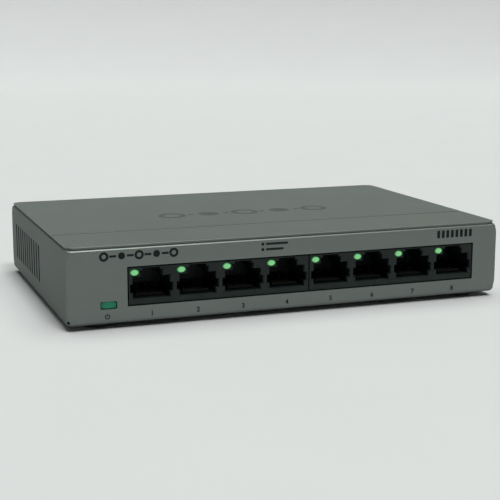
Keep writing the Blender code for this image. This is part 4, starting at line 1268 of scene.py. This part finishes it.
def make_camera():
    """The view from the left and a little above, through a long lens."""
    yaw = radians(CAMERA_YAW)
    pitch = radians(CAMERA_PITCH)
    roll = radians(CAMERA_ROLL)
    ahead = Vector((sin(yaw) * cos(pitch), cos(yaw) * cos(pitch), -sin(pitch)))
    level = Vector((cos(yaw), -sin(yaw), 0.0))
    upright = level.cross(ahead)
    right = level * cos(roll) + upright * sin(roll)
    up = upright * cos(roll) - level * sin(roll)
    data = bpy.data.cameras.new("camera")
    data.lens = CAMERA_LENS
    data.sensor_width = SENSOR_W
    data.clip_start = CLIP_START
    camera = new_object("camera", data)
    camera.matrix_world = Matrix.Translation(CORNER + Vector(CAMERA_PLACE) * MM) @ Matrix(
        (right, up, -ahead)).transposed().to_4x4()
    bpy.context.scene.camera = camera


def make_floor(pale):
    """A pale floor that curves up into low walls far from the object."""
    profile = [(DISH_FLAT * share, FLOOR_Z) for share in (0.02, 0.2, 0.6, 1.0)]
    for turn in quarter_turns()[1:]:
        profile.append((DISH_FLAT + DISH_BEND * sin(turn), FLOOR_Z + DISH_BEND * (1 - cos(turn))))
    profile.append((DISH_FLAT + DISH_BEND, FLOOR_Z + DISH_WALL))
    shape = bmesh.new()
    rings = [[(x, y, z) for x, y in round_outline(radius, radius, DISH_SIDES)] for radius, z in profile]
    add_loft(shape, rings, top=False)
    floor = build("studio_floor", shape, pale, body=None)


def make_light():
    world = bpy.data.worlds.new("studio")
    world.use_nodes = True
    background = world.node_tree.nodes["Background"]
    background.inputs["Color"].default_value = WORLD_COLOUR
    background.inputs["Strength"].default_value = WORLD_STRENGTH
    bpy.context.scene.world = world
    for direction, strength, colour, angle in SUNS:
        data = bpy.data.lights.new("sun", "SUN")
        data.energy = strength
        data.angle = radians(angle)
        data.color = colour
        sun = new_object("sun", data)
        sun.rotation_euler = Vector(direction).to_track_quat("Z", "Y").to_euler()
    bpy.context.scene.view_settings.view_transform = "Standard"


def give(nodes, material):
    """Puts one material on every slot of some CAD nodes."""
    for node in nodes:
        data = bpy.data.objects[node].data
        for index in range(len(data.materials)):
            data.materials[index] = material


def make_metal_and_plastic():
    paint = paint_look()
    plastic = plastic_look("jack_plastic", (0.0022, 0.0062, 0.0056), (0.006, 0.012, 0.011))
    nickel = metal_look("nickel_plate", (0.62, 0.60, 0.56), (0.48, 0.46, 0.42), 0.28, (1.0, 5.0, 1.0))
    zinc = zinc_look()
    ink = ink_look("front_ink", (0.006, 0.010, 0.010), 0.6)
    # The tray's second material is a near-black paint that stands for the shade on the walls of its openings.
    make_tray(paint, grainy_look("cut_face_painted_shade", (0.035, 0.040, 0.038), (0.05, 0.055, 0.052), 0.6, 0.4,
                                 Specular_IOR_Level=0.1))
    # The lid's second material is a near-black paint: painted shade in its crease.
    make_lid(paint, grainy_look("crease_shade", (0.012, 0.014, 0.013), (0.02, 0.022, 0.021), 0.7, 0.5))
    make_feet(rubber_look())
    make_cover_screws(zinc)
    make_board_screws(zinc)
    # A darker, bluer copy of the jack plastic: painted shade for the port cavities and the combs.
    hollow = plastic_look("jack_inside_painted_shade", (0.0014, 0.0030, 0.0040), (0.0026, 0.0052, 0.0064))
    make_jack_block(BLOCKS[0], PORT_X[:4], LAMP_X[:4], plastic, hollow)
    make_jack_block(BLOCKS[1], PORT_X[4:], LAMP_X[4:], plastic, hollow)
    make_combs(hollow)
    # Gold darkened to a dim brown-grey: painted shade for the wires deep in the ports.
    gold = metal_look("contact_gold", (0.17, 0.155, 0.115), (0.115, 0.105, 0.08), 0.45, (1.0, 0.3, 1.0))
    carrier = grainy_look("carrier_plastic", (0.003, 0.0035, 0.0035), (0.006, 0.007, 0.007), 0.85, 0.3,
                          Specular_IOR_Level=0.05)
    make_springs(gold, carrier)
    make_lamps(lamp_look(), nickel)
    clear = grainy_look("clear_led", (0.55, 0.56, 0.50), (0.62, 0.63, 0.56), 0.3, 0.4)
    make_power_window(window_look(), clear)
    make_inlet(plastic, nickel)
    make_front_print(ink)
    make_digits(ink)
    make_top_print(ink_look("top_ink", (0.055, 0.064, 0.059), 0.6))
    make_label(film_look(), ink)
    give(["dc_jack_spring", "crystal"], nickel)


def dress_electronics():
    """Materials for the CAD nodes that are shown as they are."""
    give(["main_board"], board_look())
    packages = [f"transformer_{number}" for number in range(1, 5)]
    packages += ["switch_chip", "memory_chip", "core_regulator", "io_regulator"]
    lead_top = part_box("transformer_1")[0].z + 0.5 * MM
    give(packages, epoxy_look("chip_epoxy", lead_top))
    give(["thermal_pad"], grainy_look("silicone_pad", (0.35, 0.38, 0.45), (0.28, 0.31, 0.38), 0.7, 0.5))
    give(["heat_sink"],
         metal_look("extruded_aluminium", (0.60, 0.61, 0.62), (0.47, 0.48, 0.49), 0.36, (1.0, 0.08, 1.0)))
    give(["input_capacitor", "core_capacitor", "io_capacitor"],
         grainy_look("can_sleeve", (0.020, 0.021, 0.030), (0.042, 0.042, 0.055), 0.35, 0.6))
    give(["core_inductor", "io_inductor"],
         grainy_look("ferrite", (0.045, 0.043, 0.042), (0.075, 0.072, 0.07), 0.65, 0.3))


make_metal_and_plastic()
dress_electronics()
make_camera()
make_floor(floor_look())
make_light()
